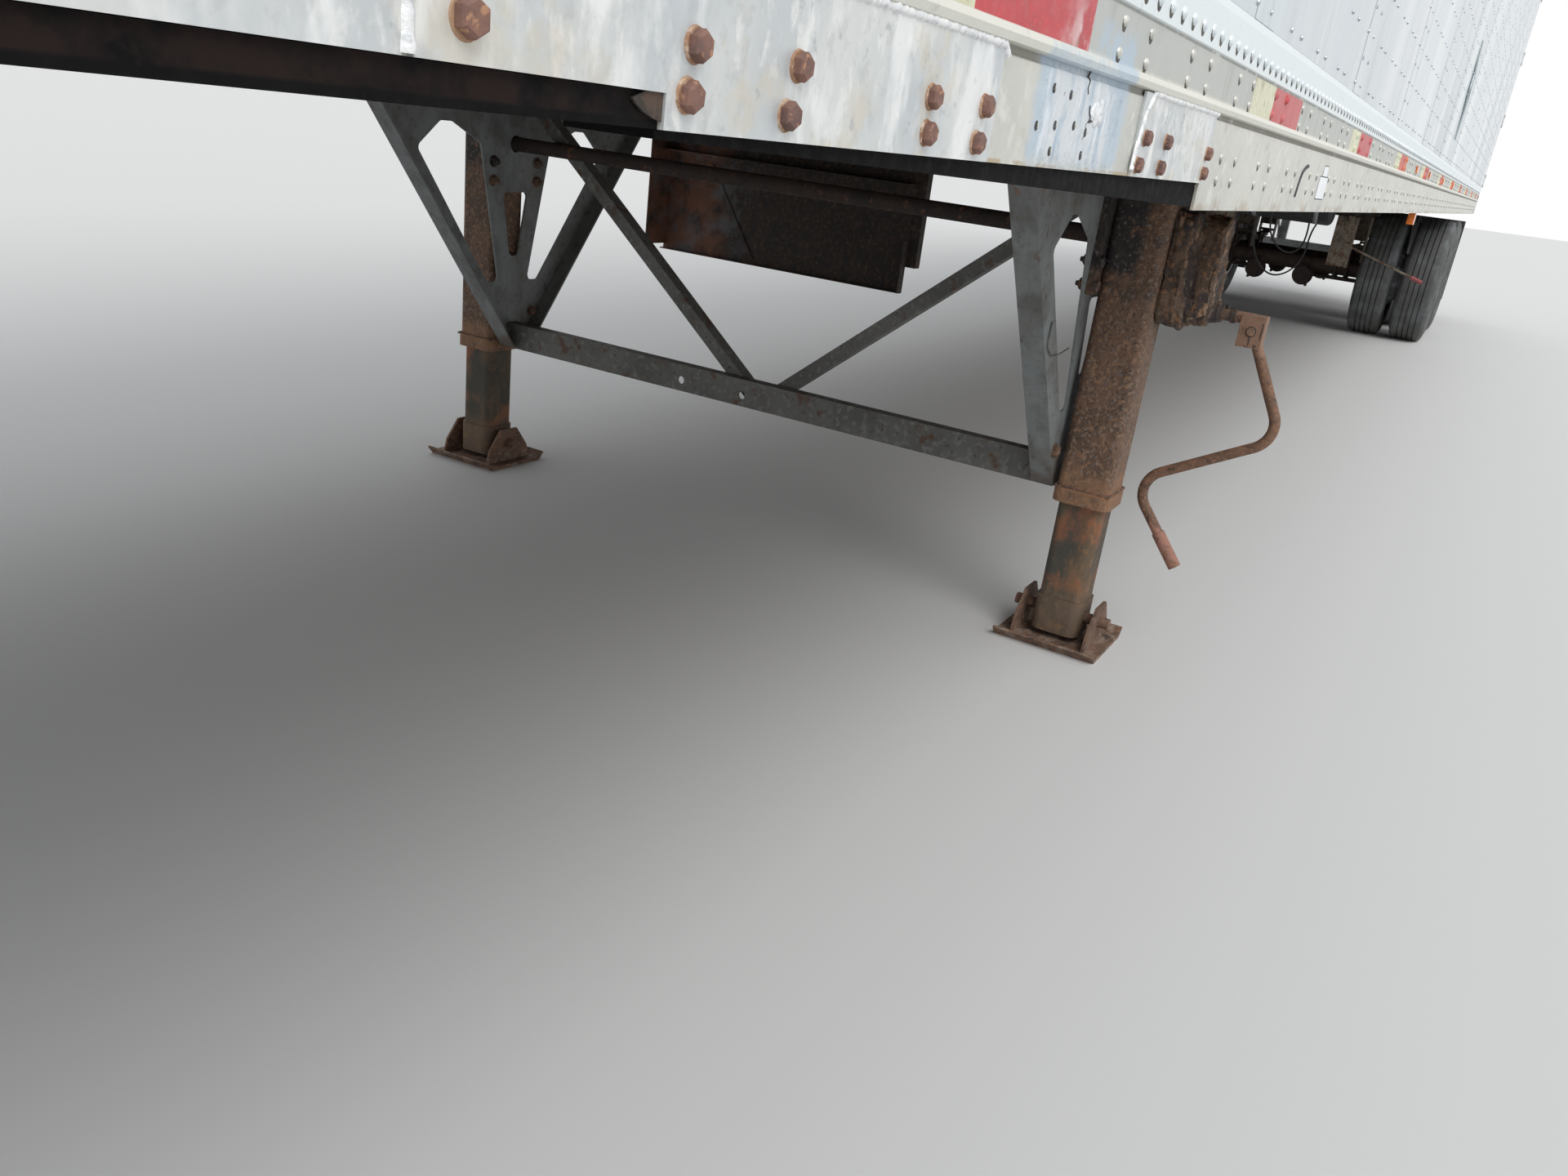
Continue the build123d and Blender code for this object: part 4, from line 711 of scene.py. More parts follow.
def addDomes(name, spots, way, size, finish, around=10, rings=6):
    shape = bmesh.new()
    for spot in spots:
        addDome(shape, spot, way, *size, around, rings)
    return addPiece(name, shape, finish)


def addDisc(shape, at, direction, radius, height, around=24, top=None):
    at = Vector(at) + Vector(direction).normalized() * height / 2
    bmesh.ops.create_cone(shape, cap_ends=True, segments=around, radius1=radius,
                          radius2=radius if top is None else top, depth=height,
                          matrix=Matrix.Translation(at) @ facing(direction))


hexHead = {"washerThick": 0.0014, "straight": 0.75, "chamfer": 0.82, "studFoot": 0.27,
           "studTip": 0.22}


def addHex(shape, at, direction, across, height, washer=0.0, stud=0.0):
    way = Vector(direction).normalized()
    at = Vector(at)
    if washer:
        addDisc(shape, at, way, washer, hexHead["washerThick"], 20)
        at = at + way * hexHead["washerThick"]
    corner, straight = across / math.sqrt(3.0), height * hexHead["straight"]
    addDisc(shape, at, way, corner, straight, 6)
    addDisc(shape, at + way * straight, way, corner, height - straight, 6,
            top=corner * hexHead["chamfer"])
    if stud:
        addDisc(shape, at + way * height, way, across * hexHead["studFoot"], stud, 12,
                top=across * hexHead["studTip"])


def addTube(name, route, radius, finish, order=3):
    piece = drawLine(name, route, radius, 3, 8, order)
    mesh = settled(piece)
    bpy.data.objects.remove(piece)
    shape = bmesh.new()
    shape.from_mesh(mesh)
    bmesh.ops.remove_doubles(shape, verts=shape.verts, dist=1e-6)
    return addPiece(name, shape, finish)


def addTurned(shape, section, centre, axis, steps):
    turned = bmesh.new()
    ring = [turned.verts.new(spot) for spot in (*section, section[0])]
    edges = [turned.edges.new(pair) for pair in zip(ring, ring[1:])]
    bmesh.ops.spin(turned, geom=ring + edges, cent=centre, axis=axis, angle=2 * math.pi,
                   steps=steps, use_merge=True, use_duplicate=False)
    bmesh.ops.remove_doubles(turned, verts=turned.verts, dist=1e-5)
    bmesh.ops.recalc_face_normals(turned, faces=turned.faces)
    mesh = bpy.data.meshes.new("turnedShape")
    turned.to_mesh(mesh)
    turned.free()
    shape.from_mesh(mesh)
    bpy.data.meshes.remove(mesh)


def circle(count, start=0.0):
    turns = [2 * math.pi * (index + start) / count for index in range(count)]
    return [(math.cos(turn), math.sin(turn)) for turn in turns]


chance = random.Random(6569)
sides = ((1, "Left"), (-1, "Right"))
halves = (-1, 1)

# Outer faces in y; a sunk face lies just inside the metal, so that a piece on it never floats
faces = {"rail": 1.287, "railSunk": 1.2868, "band": 1.290, "plate": 1.2902, "seam": 1.2874,
         "seamOut": 1.2878, "torn": 1.2885}

# Rivets stand in pairs of columns on every side post, and in one close row along the band
rivets = {"first": 7.77, "step": 0.305, "posts": 52, "half": 0.053, "upper": (1.237, 1.267),
          "shade": 1.273, "shadeHeight": 0.0013, "shadeDrop": 0.0026}
pairs, single = (-rivets["half"], rivets["half"]), (0,)
backPost, backSeam, backRow = (-rivets["step"], 0, 0), (-1.22, 0, 0), (-0.1045, 0, 0)
upRow = (0, 0, 0.1045)
small, usual, large = (0.0056, 0.0028), (0.0066, 0.0038), (0.0080, 0.0046)

# First X, columns, face, heights, size, finish and runs; the shaded rows get a painted shade, a
# dark rim dome set just below each rivet
shadedRows = {
    "upperRivetsFore": (7.77, pairs, "rail", rivets["upper"], usual, "rivetMetal", (4, backPost)),
    "upperRivetsAft": (5.94, pairs, "rail", rivets["upper"], usual, "rivetMetal", (46, backPost)),
    "lowerRivets": (5.33, pairs, "rail", (1.127, 1.158), usual, "rivetMetal", (44, backPost)),
    "bandRivets": (7.831, single, "band", (1.301,), large, "brightRivet", (290, (-0.0539, 0, 0))),
}
plainRows = {
    "sheetRivets": (7.77, pairs, "rail", (1.3655,), (0.0052, 0.0034), "sheetRivet",
                    (52, backPost), (26, upRow)),
    "seamRivets": (7.745, pairs, "seam", (1.41775,), (0.0052, 0.0028), "sheetRivet",
                   (13, backSeam), (25, upRow)),
    "topRivets": (7.85, single, "rail", (4.052, 4.090), small, "rivetMetal", (150, backRow)),
}
laps = {"x": (7.670, 7.820), "z": (1.3455, 4.029), "bevel": 0.0003, "count": 13}
noseRivets = {"x": 8.015, "y": (-1.111, -1.059), "z": 1.22,
              "runs": ((8, (0, 0.31, 0)), (27, upRow))}


def addRivetRows(side, word):
    out, fall = (0, side, 0), rivets["shadeDrop"]
    for name, (first, columns, face, heights, size, finish, *runs) in shadedRows.items():
        spots = [(first + x, side * faces[face], z) for x in columns for z in heights]
        repeat(addDomes(name + word, spots, out, size, finish), *runs)
        # Painted shade: a thin dark dome a little below and behind each rivet
        under = [(x - fall / 3, y, z - fall) for x, y, z in spots]
        shade = (size[0] * rivets["shade"], rivets["shadeHeight"])
        repeat(addDomes(name + word + "Shades", under, out, shade, "rivetShadeAndRim", 10, 4), *runs)
    for name, (first, columns, face, heights, size, finish, *runs) in plainRows.items():
        spots = [(first + x, side * faces[face], z) for x in columns for z in heights]
        repeat(addDomes(name + word, spots, out, size, finish, 8, 4), *runs)
    shape = bmesh.new()
    addSideBlock(shape, side, laps["x"], (faces["railSunk"], faces["seamOut"]), laps["z"],
                 laps["bevel"], 1)
    repeat(addPiece("sheetLaps" + word, shape, "sheetMetal"),
           (laps["count"], backSeam))


for side, word in sides:
    addRivetRows(side, word)
repeat(addDomes("noseRivets", [(noseRivets["x"], y, noseRivets["z"]) for y in noseRivets["y"]],
                (1, 0, 0), small, "rivetMetal", 8, 4), *noseRivets["runs"])
print("rivets")

# Reflective tape: pale forward of each border and red behind it, on both rails and at the rear
tape = {
    "border": 7.684, "step": 1.30, "groups": 12, "pale": 0.18, "red": 0.29,
    "range": (1.2277, 1.2784), "thick": 0.0006, "smooth": (5.9, 6.8), "reach": (-7.68, 7.90),
    "shortest": 0.02, "margin": 0.004, "bump": (0.0078, 0.0062),
    "rearFirst": -1.18, "rearStep": 0.295, "rearCount": 8,
    "guard": ((-7.9826, -7.9815), (0.482, 0.534)), "sill": ((-7.9886, -7.9875), (1.232, 1.2705)),
    "corners": (((0.96, 1.20), (3.992, 4.030)), ((1.215, 1.265), (3.72, 3.975))),
}


def addSideTape(side, word):
    posts = [rivets["first"] - rivets["step"] * index + x
             for index in range(rivets["posts"]) for x in pairs]
    shapes = {"paleTape": bmesh.new(), "redTape": bmesh.new()}
    for group in range(tape["groups"]):
        border = tape["border"] - tape["step"] * group
        for finish, back, front in (("paleTape", border, border + tape["pale"]),
                                    ("redTape", border - tape["red"], border)):
            back, front = max(back, tape["reach"][0]), min(front, tape["reach"][1])
            if front - back < tape["shortest"]:
                continue
            addSideBlock(shapes[finish], side, (back, front),
                         (faces["railSunk"], faces["rail"] + tape["thick"]), tape["range"])
            for x in posts:
                bumpy = not tape["smooth"][0] < x < tape["smooth"][1]
                if bumpy and back + tape["margin"] < x < front - tape["margin"]:
                    for z in rivets["upper"]:
                        addDome(shapes[finish], (x, side * faces["rail"], z), (0, side, 0),
                                *tape["bump"])
    for finish, shape in shapes.items():
        addPiece(finish + word, shape, finish)


def addRearTape():
    shapes = {"paleTape": bmesh.new(), "redTape": bmesh.new()}
    for index in range(tape["rearCount"]):
        shape = shapes["redTape" if index % 2 else "paleTape"]
        y = tape["rearFirst"] + tape["rearStep"] * index
        for (back, front), (low, high) in (tape["guard"], tape["sill"]):
            addBlock(shape, (back, y, low), (front, y + tape["rearStep"], high))
    for side, _ in sides:
        for across, heights in tape["corners"]:
            addSideBlock(shapes["paleTape"], side, tape["sill"][0], across, heights)
    addPiece("rearPaleTape", shapes["paleTape"], "paleTape")
    addPiece("rearRedTape", shapes["redTape"], "redTape")


for side, word in sides:
    addSideTape(side, word)
addRearTape()
print("tape")

# Rusty bolts and weld along the repair plates, with the cracked rail between them and its dents
# drawn as painted shade
repairs = {
    "bolts": [
        (6.912, 1.156), (6.748, 1.163), (6.752, 1.138), (6.640, 1.163), (6.648, 1.135),
        (6.444, 1.161), (6.444, 1.136), (6.339, 1.162), (6.346, 1.134), (5.835, 1.163),
        (5.849, 1.133), (5.737, 1.163), (5.745, 1.133), (5.500, 1.159), (5.502, 1.133),
        (7.05, 1.160), (7.24, 1.164), (7.44, 1.158), (7.63, 1.163), (7.83, 1.160),
    ],
    "lean": 0.06, "across": 0.0148, "headHeight": 0.0066, "boltSunk": 0.0004, "headLift": 0.0017,
    "washer": 0.0100, "washerThick": 0.0018, "washerTop": 0.93,
    "beads": [
        [(6.306, 1.203), (6.312, 1.2105), (6.45, 1.2112), (6.62, 1.2110)],
        [(5.485, 1.2110), (5.60, 1.2114), (5.74, 1.2108), (5.830, 1.2114), (5.852, 1.187),
         (5.864, 1.1515), (5.867, 1.1266)],
        [(6.943, 1.139), (6.943, 1.2115)],
        [(7.30, 1.2110), (7.55, 1.2114), (7.875, 1.2110)],
    ],
    "beadWidth": 0.0074, "beadHeight": 0.0030, "beadSunk": 0.0006, "beadStep": 0.0022,
    "beadLumps": ((0.55, 170), (0.35, 420)), "beadSwell": (0.75, 0.3), "crackY": 1.2867,
    "cracks": [
        ("railCrackTop", 0.0011,
         [(6.071, 1.212), (6.076, 1.207), (6.068, 1.204), (6.071, 1.197), (6.067, 1.192)]),
        ("railCrackMid", 0.0013,
         [(6.054, 1.182), (6.052, 1.176), (6.046, 1.172), (6.048, 1.167), (6.036, 1.169)]),
        ("railCrackLow", 0.0007, [(6.046, 1.170), (6.055, 1.164), (6.052, 1.156), (6.058, 1.150)]),
    ],
    "dents": [(6.052, 1.157), (6.148, 1.158), (6.092, 1.161), (6.150, 1.135), (6.053, 1.135),
              (6.169, 1.189), (6.199, 1.155), (6.118, 1.187)],
    "dentShadeSize": (0.0050, 0.0014), "plugSize": (0.0034, 0.0018), "plugShift": (-0.0022, 0.0004),
    "lump": (6.028, 1.177), "lumps": 16,
    "lumpX": (-0.014, 0.014), "lumpZ": (-0.008, 0.010), "lumpRadius": (0.005, 0.010),
    "lumpHeight": (0.0015, 0.0028),
    "flap": [(6.7955, 1.1338), (6.783, 1.1385), (6.763, 1.1385), (6.755, 1.1244),
             (6.757, 1.1198), (6.762, 1.1207), (6.7665, 1.1233), (6.7752, 1.1247),
             (6.7853, 1.1276), (6.7925, 1.1314)],
    "flapThick": 0.0017,
}


def addBead(shape, route):
    # A strip is laid along the route and raised to a lumpy half round
    lengths = [(after - before).length for before, after in zip(route, route[1:])]
    whole, (least, swell) = sum(lengths), repairs["beadSwell"]
    count = max(6, int(whole / repairs["beadStep"]))
    made = bmesh.ops.create_grid(shape, x_segments=count, y_segments=6, size=1.0)
    for vert in made["verts"]:
        along, across = (vert.co.x + 1) / 2 * whole, vert.co.y
        for before, after, length in zip(route, route[1:], lengths):
            if along <= length or after is route[-1]:
                break
            along -= length
        way = (after - before).normalized()
        at = before + way * along
        lumps = 1.0 + sum(share * noise.noise(at * scale) for share, scale in repairs["beadLumps"])
        rise = math.sqrt(max(0.0, 1.0 - across * across))
        half = repairs["beadWidth"] / 2 * (least + swell * lumps)
        aside = Vector((-way.z, 0, way.x)) * across * half
        vert.co = at + aside + Vector((0, rise * repairs["beadHeight"] * lumps, 0))


def addRepairBolts():
    shape, washers = bmesh.new(), bmesh.new()
    lean, across, height = repairs["lean"], repairs["across"], repairs["headHeight"]
    for x, z in repairs["bolts"]:
        tilt = Vector((chance.uniform(-lean, lean), 1.0, chance.uniform(-lean, lean)))
        at = Vector((x, faces["plate"] - repairs["boltSunk"], z))
        addDisc(washers, at, tilt, repairs["washer"], repairs["washerThick"], 20,
                top=repairs["washer"] * repairs["washerTop"])
        addHex(shape, at + tilt * repairs["headLift"], tilt, across, height)
    addPiece("repairBolts", shape, "boltRust")
    addPiece("repairWashers", washers, "washerRust")


def addRepairs():
    out, sunk = (0, 1, 0), faces["railSunk"]
    addRepairBolts()
    shape = bmesh.new()
    for route in repairs["beads"]:
        addBead(shape, [Vector((x, faces["plate"] - repairs["beadSunk"], z)) for x, z in route])
    addPiece("repairWelds", shape, "weldMetal", sharp=80)
    for name, radius, route in repairs["cracks"]:
        addTube(name, [(x, repairs["crackY"], z) for x, z in route], radius, "markAndShadeGrey", order=2)
    # The dents are dark domes of painted shade, mostly covered by a rail-coloured plug so that a
    # crescent shows
    addDomes("railDentShades", [(x, sunk, z) for x, z in repairs["dents"]], out, repairs["dentShadeSize"],
             "markAndShadeGrey", 12, 4)
    aside, lift = repairs["plugShift"]
    addDomes("railDentPlugs", [(x + aside, sunk, z + lift) for x, z in repairs["dents"]], out,
             repairs["plugSize"], "rivetMetal", 12, 4)
    shape = bmesh.new()
    x, z = repairs["lump"]
    for _ in range(repairs["lumps"]):
        spot = (x + chance.uniform(*repairs["lumpX"]), sunk, z + chance.uniform(*repairs["lumpZ"]))
        addDome(shape, spot, out, chance.uniform(*repairs["lumpRadius"]),
                chance.uniform(*repairs["lumpHeight"]), 9, 5)
    addPiece("railFiller", shape, "weldMetal", sharp=80)
    shape = bmesh.new()
    front = [shape.verts.new((x, sunk, z)) for x, z in repairs["flap"]]
    made = bmesh.ops.extrude_face_region(shape, geom=[shape.faces.new(front)])
    moved = [item for item in made["geom"] if isinstance(item, bmesh.types.BMVert)]
    bmesh.ops.translate(shape, verts=moved, vec=(0, repairs["flapThick"], 0))
    bmesh.ops.triangulate(shape, faces=shape.faces)
    addPiece("tornRailCorner", shape, "darkFrame")


addRepairs()
print("repairs")

# Blank labels, tyre-black scuff and the torn place in the left side sheet
marks = {
    "labels": (((4.184, 4.307), (1.112, 1.158)), ((4.214, 4.276), (1.160, 1.181))),
    "labelY": (1.2867, 1.2880), "rimY": (1.2867, 1.2873), "labelRim": 0.0022, "bevel": 0.0002,
    "scuff": [(4.526, 1.2856, 1.173), (4.570, 1.2858, 1.168), (4.600, 1.2858, 1.146),
              (4.606, 1.2856, 1.112)],
    "scuffRadius": 0.0046,
    "tear": [(-0.17, 1.93), (-0.205, 1.83), (-0.262, 1.78), (-0.255, 1.70), (-0.33, 1.60),
             (-0.352, 1.465)],
    "tearWidths": (0.0, 0.035, 0.075, 0.10, 0.055, 0.0),
    "lipReach": 0.004, "lipRise": 0.05, "lipRadius": 0.0042,
}


def addMarks():
    shape, rim, edge = bmesh.new(), bmesh.new(), marks["labelRim"]
    for (back, front), (low, high) in marks["labels"]:
        addSideBlock(shape, 1, (back, front), marks["labelY"], (low, high), marks["bevel"], 1)
        addSideBlock(rim, 1, (back - edge, front + edge), marks["rimY"], (low - edge, high + edge),
                     marks["bevel"], 1)
    addPiece("blankLabel", shape, "whiteLabel")
    addPiece("labelRim", rim, "rivetShadeAndRim")
    addTube("railScuff", marks["scuff"], marks["scuffRadius"], "markAndShadeGrey")
    tear = [(x, z, width / 2) for (x, z), width in zip(marks["tear"], marks["tearWidths"])]
    # The tear is a flat dark polygon on the sheet: painted shade for the inside seen through it
    gap = bmesh.new()
    near = [(x + half, faces["seamOut"], z) for x, z, half in tear]
    far = [(x - half, faces["seamOut"], z) for x, z, half in tear[-2:0:-1]]
    face = gap.faces.new([gap.verts.new(spot) for spot in near + far])
    bmesh.ops.triangulate(gap, faces=[face])
    addPiece("sheetTearGap", gap, "paintedHoleShade")
    reach, rise = marks["lipReach"], 2 * marks["lipRise"]
    for word, way in (("Front", 1), ("Back", -1)):
        route = [(x + way * (half + reach), faces["torn"] + half * rise, z) for x, z, half in tear]
        addTube("sheetTearLip" + word, route, marks["lipRadius"], "sheetMetal",
                order=2)


addMarks()
print("marks")

# Landing legs: bolts and nuts, wire, collar welds, scaled gearbox and crank fittings
legs = {
    "x": 4.5, "nutY": 0.8970,
    "bolts": [
        {"z": (0.925, 0.872), "reach": 0.092, "y": 0.9177, "bolt": (0.024, 0.010, 0.017),
         "nut": (0.024, 0.013, 0.017, 0.008)},
        {"z": (0.484,), "reach": 0.088, "y": 0.9024, "bolt": (0.026, 0.012, 0.018),
         "nut": (0.024, 0.013, 0.016, 0.006)},
    ],
    "wire": [(4.803, 0.9045, 0.805), (4.812, 0.9065, 0.775), (4.806, 0.9055, 0.749),
             (4.770, 0.9065, 0.728), (4.732, 0.9050, 0.726), (4.690, 0.9050, 0.728),
             (4.644, 0.9045, 0.734)],
    "wireRadius": 0.0016,
    "collarY": 0.983, "collarZ": 0.399, "collarOut": 0.0655, "collarHalf": 0.066, "collarDomes": 30,
    "collarSize": 0.0042, "collarJitter": 0.0012, "collarSpread": (0.8, 1.2), "collarSquash": 0.8,
}


def addLegFittings():
    shape = bmesh.new()
    for side, _ in sides:
        for way in halves:
            for row in legs["bolts"]:
                x = legs["x"] + way * row["reach"]
                for z in row["z"]:
                    addHex(shape, (x, side * row["y"], z), (0, side, 0), *row["bolt"])
                    addHex(shape, (x, side * legs["nutY"], z), (0, -side, 0), *row["nut"])
    addPiece("legBolts", shape, "legRust")
    addTube("bracketWire", legs["wire"], legs["wireRadius"], "greyBrace")
    collar = bmesh.new()
    half, count, jitter = legs["collarHalf"], legs["collarDomes"], legs["collarJitter"]
    for side, _ in sides:
        middle = Vector((legs["x"], side * legs["collarY"], legs["collarZ"]))
        for edge in range(4):
            turn = Matrix.Rotation(math.pi / 2 * edge, 4, "Z")
            for index in range(count):
                along = -half + 2 * half * index / (count - 1)
                at = turn @ Vector((legs["collarOut"], along, 0)) + middle
                at.z += chance.uniform(-jitter, jitter)
                size = legs["collarSize"] * chance.uniform(*legs["collarSpread"])
                addDome(collar, at, (0, 0, 1), size, size * legs["collarSquash"], 6, 4)
    addPiece("collarWelds", collar, "footRust", sharp=80)


shell = {"voxel": 0.0034, "flakeScale": 38, "flakeDetail": (1.0, 2.0, 4), "flakes": 0.0044,
         "plateScale": 17, "plateShift": Vector((3, 1, 7)), "plates": 0.0040,
         "proudAbove": 0.08, "lostBelow": -0.30, "sunk": 0.0012}


def addGearboxShell():
    shape = bmesh.new()
    shape.from_mesh(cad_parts["leg_gearbox"].data)
    bmesh.ops.remove_doubles(shape, verts=shape.verts, dist=1e-5)
    piece = addPiece("gearboxShell", shape, "gearRust", sharp=180)
    remesh = piece.modifiers.new("evenMesh", "REMESH")
    remesh.mode = "VOXEL"
    remesh.voxel_size = shell["voxel"]
    remesh.use_smooth_shade = True
    settle(piece)
    lift = []
    for vert in piece.data.vertices:
        flakes = noise.fractal(vert.co * shell["flakeScale"], *shell["flakeDetail"])
        plates = noise.noise(vert.co * shell["plateScale"] + shell["plateShift"])
        step = (plates > shell["proudAbove"]) - (plates < shell["lostBelow"])
        rise = shell["flakes"] * flakes + step * shell["plates"] - shell["sunk"]
        lift.append(vert.normal * rise)
    for vert, move in zip(piece.data.vertices, lift):
        vert.co += move
    piece.data.update()
    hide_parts("leg_gearbox")


crank = {
    "pinX": 4.405, "pinY": 1.245, "pinZ": 0.816, "pinReach": 0.0205, "pin": (0.0100, 0.005, 20),
    "pinTop": 0.0085, "ring": (0.0118, 0.0014, 20),
    "shaft": (((4.405, 1.160, 0.8420), (0, 1, 0), 0.0215, 0.012, 20, 0.019),
              ((4.405, 1.192, 0.8420), (0, 1, 0), 0.0165, 0.010, 18),
              ((4.405, 1.180, 0.8540), (0, 0, 1), 0.0045, 0.010, 10)),
    "slots": (((4.4250, 1.2440, 0.7860), (4.4266, 1.2466, 0.8070)),
              ((4.4250, 1.2665, 0.8000), (4.4264, 1.2690, 0.8380))),
}


def addCrankFittings():
    pins, dark = bmesh.new(), bmesh.new()
    for way in halves:
        at = (crank["pinX"] + way * crank["pinReach"], crank["pinY"], crank["pinZ"])
        addDisc(pins, at, (way, 0, 0), *crank["pin"], top=crank["pinTop"])
        addDisc(dark, at, (way, 0, 0), *crank["ring"])
    for disc in crank["shaft"]:
        addDisc(dark, *disc)
    addPiece("crankPins", pins, "clevisRust")
    for low, high in crank["slots"]:
        addBlock(dark, low, high)
    addPiece("crankPinSlot", dark, "springSteel")


addLegFittings()
addGearboxShell()
addCrankFittings()
print("landing legs")

# Tyres: one ribbed section turned round each axle, in place of the plain tyres
tyre = {
    "side": [(0.104, 0.2865), (0.1065, 0.300), (0.120, 0.320), (0.1345, 0.350), (0.1392, 0.385),
             (0.1400, 0.400), (0.1412, 0.403), (0.1400, 0.406), (0.1392, 0.430), (0.1330, 0.458),
             (0.1268, 0.474), (0.1275, 0.477), (0.1245, 0.4790), (0.1185, 0.4925),
             (0.1135, 0.4990), (0.1040, 0.5035)],
    "crown": 0.508, "drop": 0.0045, "shoulder": 0.104, "steps": 112,
    "grooves": (0.062, 0.0205, -0.0205, -0.062), "grooveHalf": 0.0048, "grooveFlank": 0.0016,
    "grooveDeep": 0.012, "axleZ": 0.508, "axles": {"front": -4.610, "rear": -5.855},
    "outer": 1.148, "inner": 0.805,
}
nuts = {"circle": 0.1429, "count": 10, "y": 0.9870, "size": (0.033, 0.024, 0.021, 0.012),
        "capCircle": 0.050, "capCount": 6, "capY": 1.2300, "capSize": (0.012, 0.006)}


def tyreSection():
    points = list(tyre["side"])
    half, deep, flank = tyre["grooveHalf"], tyre["grooveDeep"], tyre["grooveFlank"]
    for middle in tyre["grooves"]:
        low = half - flank
        for across, down in ((half, 0.0), (low, deep), (-low, deep), (-half, 0.0)):
            y = middle + across
            points.append((y, tyre["crown"] - tyre["drop"] * (y / tyre["shoulder"]) ** 2 - down))
    return points + [(-y, r) for y, r in reversed(tyre["side"])]


def addTyres():
    section = tyreSection()
    for axleName, axleX in tyre["axles"].items():
        for side, word in sides:
            whole = bmesh.new()
            for middle in (tyre["outer"], tyre["inner"]):
                spots = [(axleX, side * middle + y, tyre["axleZ"] + r) for y, r in section]
                addTurned(whole, spots, (axleX, side * middle, tyre["axleZ"]), (0, 1, 0),
                          tyre["steps"])
            place = axleName + "_" + word.lower()
            piece = addPiece(axleName + "Tyres" + word, whole, "tyreRubber", "wheels_" + place,
                             34)
            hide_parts("tyres_" + place)


def addWheelNuts():
    rings = ((nuts["circle"], nuts["count"], 0.5, nuts["y"], nuts["size"]),
             (nuts["capCircle"], nuts["capCount"], 0.0, nuts["capY"], nuts["capSize"]))
    for axleName, axleX in tyre["axles"].items():
        for side, word in sides:
            shape = bmesh.new()
            for radius, count, start, y, size in rings:
                for across, up in circle(count, start):
                    at = (axleX + radius * across, side * y, tyre["axleZ"] + radius * up)
                    addHex(shape, at, (0, side, 0), *size)
            body = "wheels_" + axleName + "_" + word.lower()
            addPiece(axleName + "WheelNuts" + word, shape, "pinSteel", body)


addTyres()
addWheelNuts()
print("wheels")

# Brake chamber clamps, tank bands and spring bolts under the bogie
bogie = {
    "chamberX": 0.167, "chamberY": 0.205, "chamberZ": 0.412,
    "clamp": (0.0885, 0.006, 40, 0.083), "lugCircle": 0.094, "lugTurn": 0.5,
    "lugHalf": Vector((0.016, 0.011, 0.011)), "lugBevel": 0.003, "lugBoltLift": 0.010,
    "lugBolt": (0.013, 0.008, 0, 0.012),
    "studX": 0.068, "studCircle": 0.066, "studs": 16, "stud": (0.006, 0.004),
    "rodX": 0.060, "rod": (0.019, 0.016, 0.016, 0.018),
    "bands": (-0.19, 0.29), "bandRadius": 0.1192, "bandX": -3.581, "bandZ": 0.985,
    "bandWidth": 0.034, "bandThick": 0.003,
    "springY": 0.495, "clampX": 0.085, "clampY": 0.046, "clampZ": 0.4430,
    "clampBar": (0.010, 0.245, 12), "clampNutZ": 0.4455, "clampNut": (0.028, 0.018, 0.018, 0.010),
}


def addChamberClamp(shape, at, side):
    for way in halves:
        addDisc(shape, at, (-way, 0, 0), *bogie["clamp"])
    for index in range(2):
        turn = math.pi / 2 + math.pi * index + bogie["lugTurn"] * side
        spot = at + Vector((0, math.cos(turn), math.sin(turn))) * bogie["lugCircle"]
        addBlock(shape, spot - bogie["lugHalf"], spot + bogie["lugHalf"], bogie["lugBevel"])
        addHex(shape, spot + Vector((0, 0, bogie["lugBoltLift"])), (0, 0, 1), *bogie["lugBolt"])
    for across, up in circle(bogie["studs"]):
        spot = at + Vector((bogie["studX"], bogie["studCircle"] * across, bogie["studCircle"] * up))
        addDome(shape, spot, (1, 0, 0), *bogie["stud"], 8, 4)
    addHex(shape, at + Vector((bogie["rodX"], 0, 0)), (1, 0, 0), *bogie["rod"])


def addTankBands():
    bands = bmesh.new()
    for y in bogie["bands"]:
        place = Matrix.Translation((bogie["bandX"], y, bogie["bandZ"])) @ facing((0, 1, 0))
        ring = bmesh.ops.create_circle(bands, segments=64, radius=bogie["bandRadius"], matrix=place)
        edges = list({edge for vert in ring["verts"] for edge in vert.link_edges})
        made = bmesh.ops.extrude_edge_only(bands, edges=edges)
        moved = [item for item in made["geom"] if isinstance(item, bmesh.types.BMVert)]
        bmesh.ops.translate(bands, verts=moved, vec=(0, bogie["bandWidth"], 0))
    piece = addPiece("tankBands", bands, "zincSteel")
    wall = piece.modifiers.new("wall", "SOLIDIFY")
    wall.thickness = bogie["bandThick"]
    settle(piece)


def addBogieFittings():
    shape, bolts = bmesh.new(), bmesh.new()
    for axleX in tyre["axles"].values():
        for side, _ in sides:
            addChamberClamp(shape, Vector((axleX + bogie["chamberX"], side * bogie["chamberY"],
                                           bogie["chamberZ"])), side)
            for along in halves:
                for across in halves:
                    x = axleX + along * bogie["clampX"]
                    y = side * (bogie["springY"] + across * bogie["clampY"])
                    addDisc(bolts, (x, y, bogie["clampZ"]), (0, 0, 1), *bogie["clampBar"])
                    addHex(bolts, (x, y, bogie["clampNutZ"]), (0, 0, -1), *bogie["clampNut"])
    addPiece("chamberClamps", shape, "springSteel")
    addTankBands()
    addPiece("springClamps", bolts, "springSteel")


addBogieFittings()
print("bogie fittings")

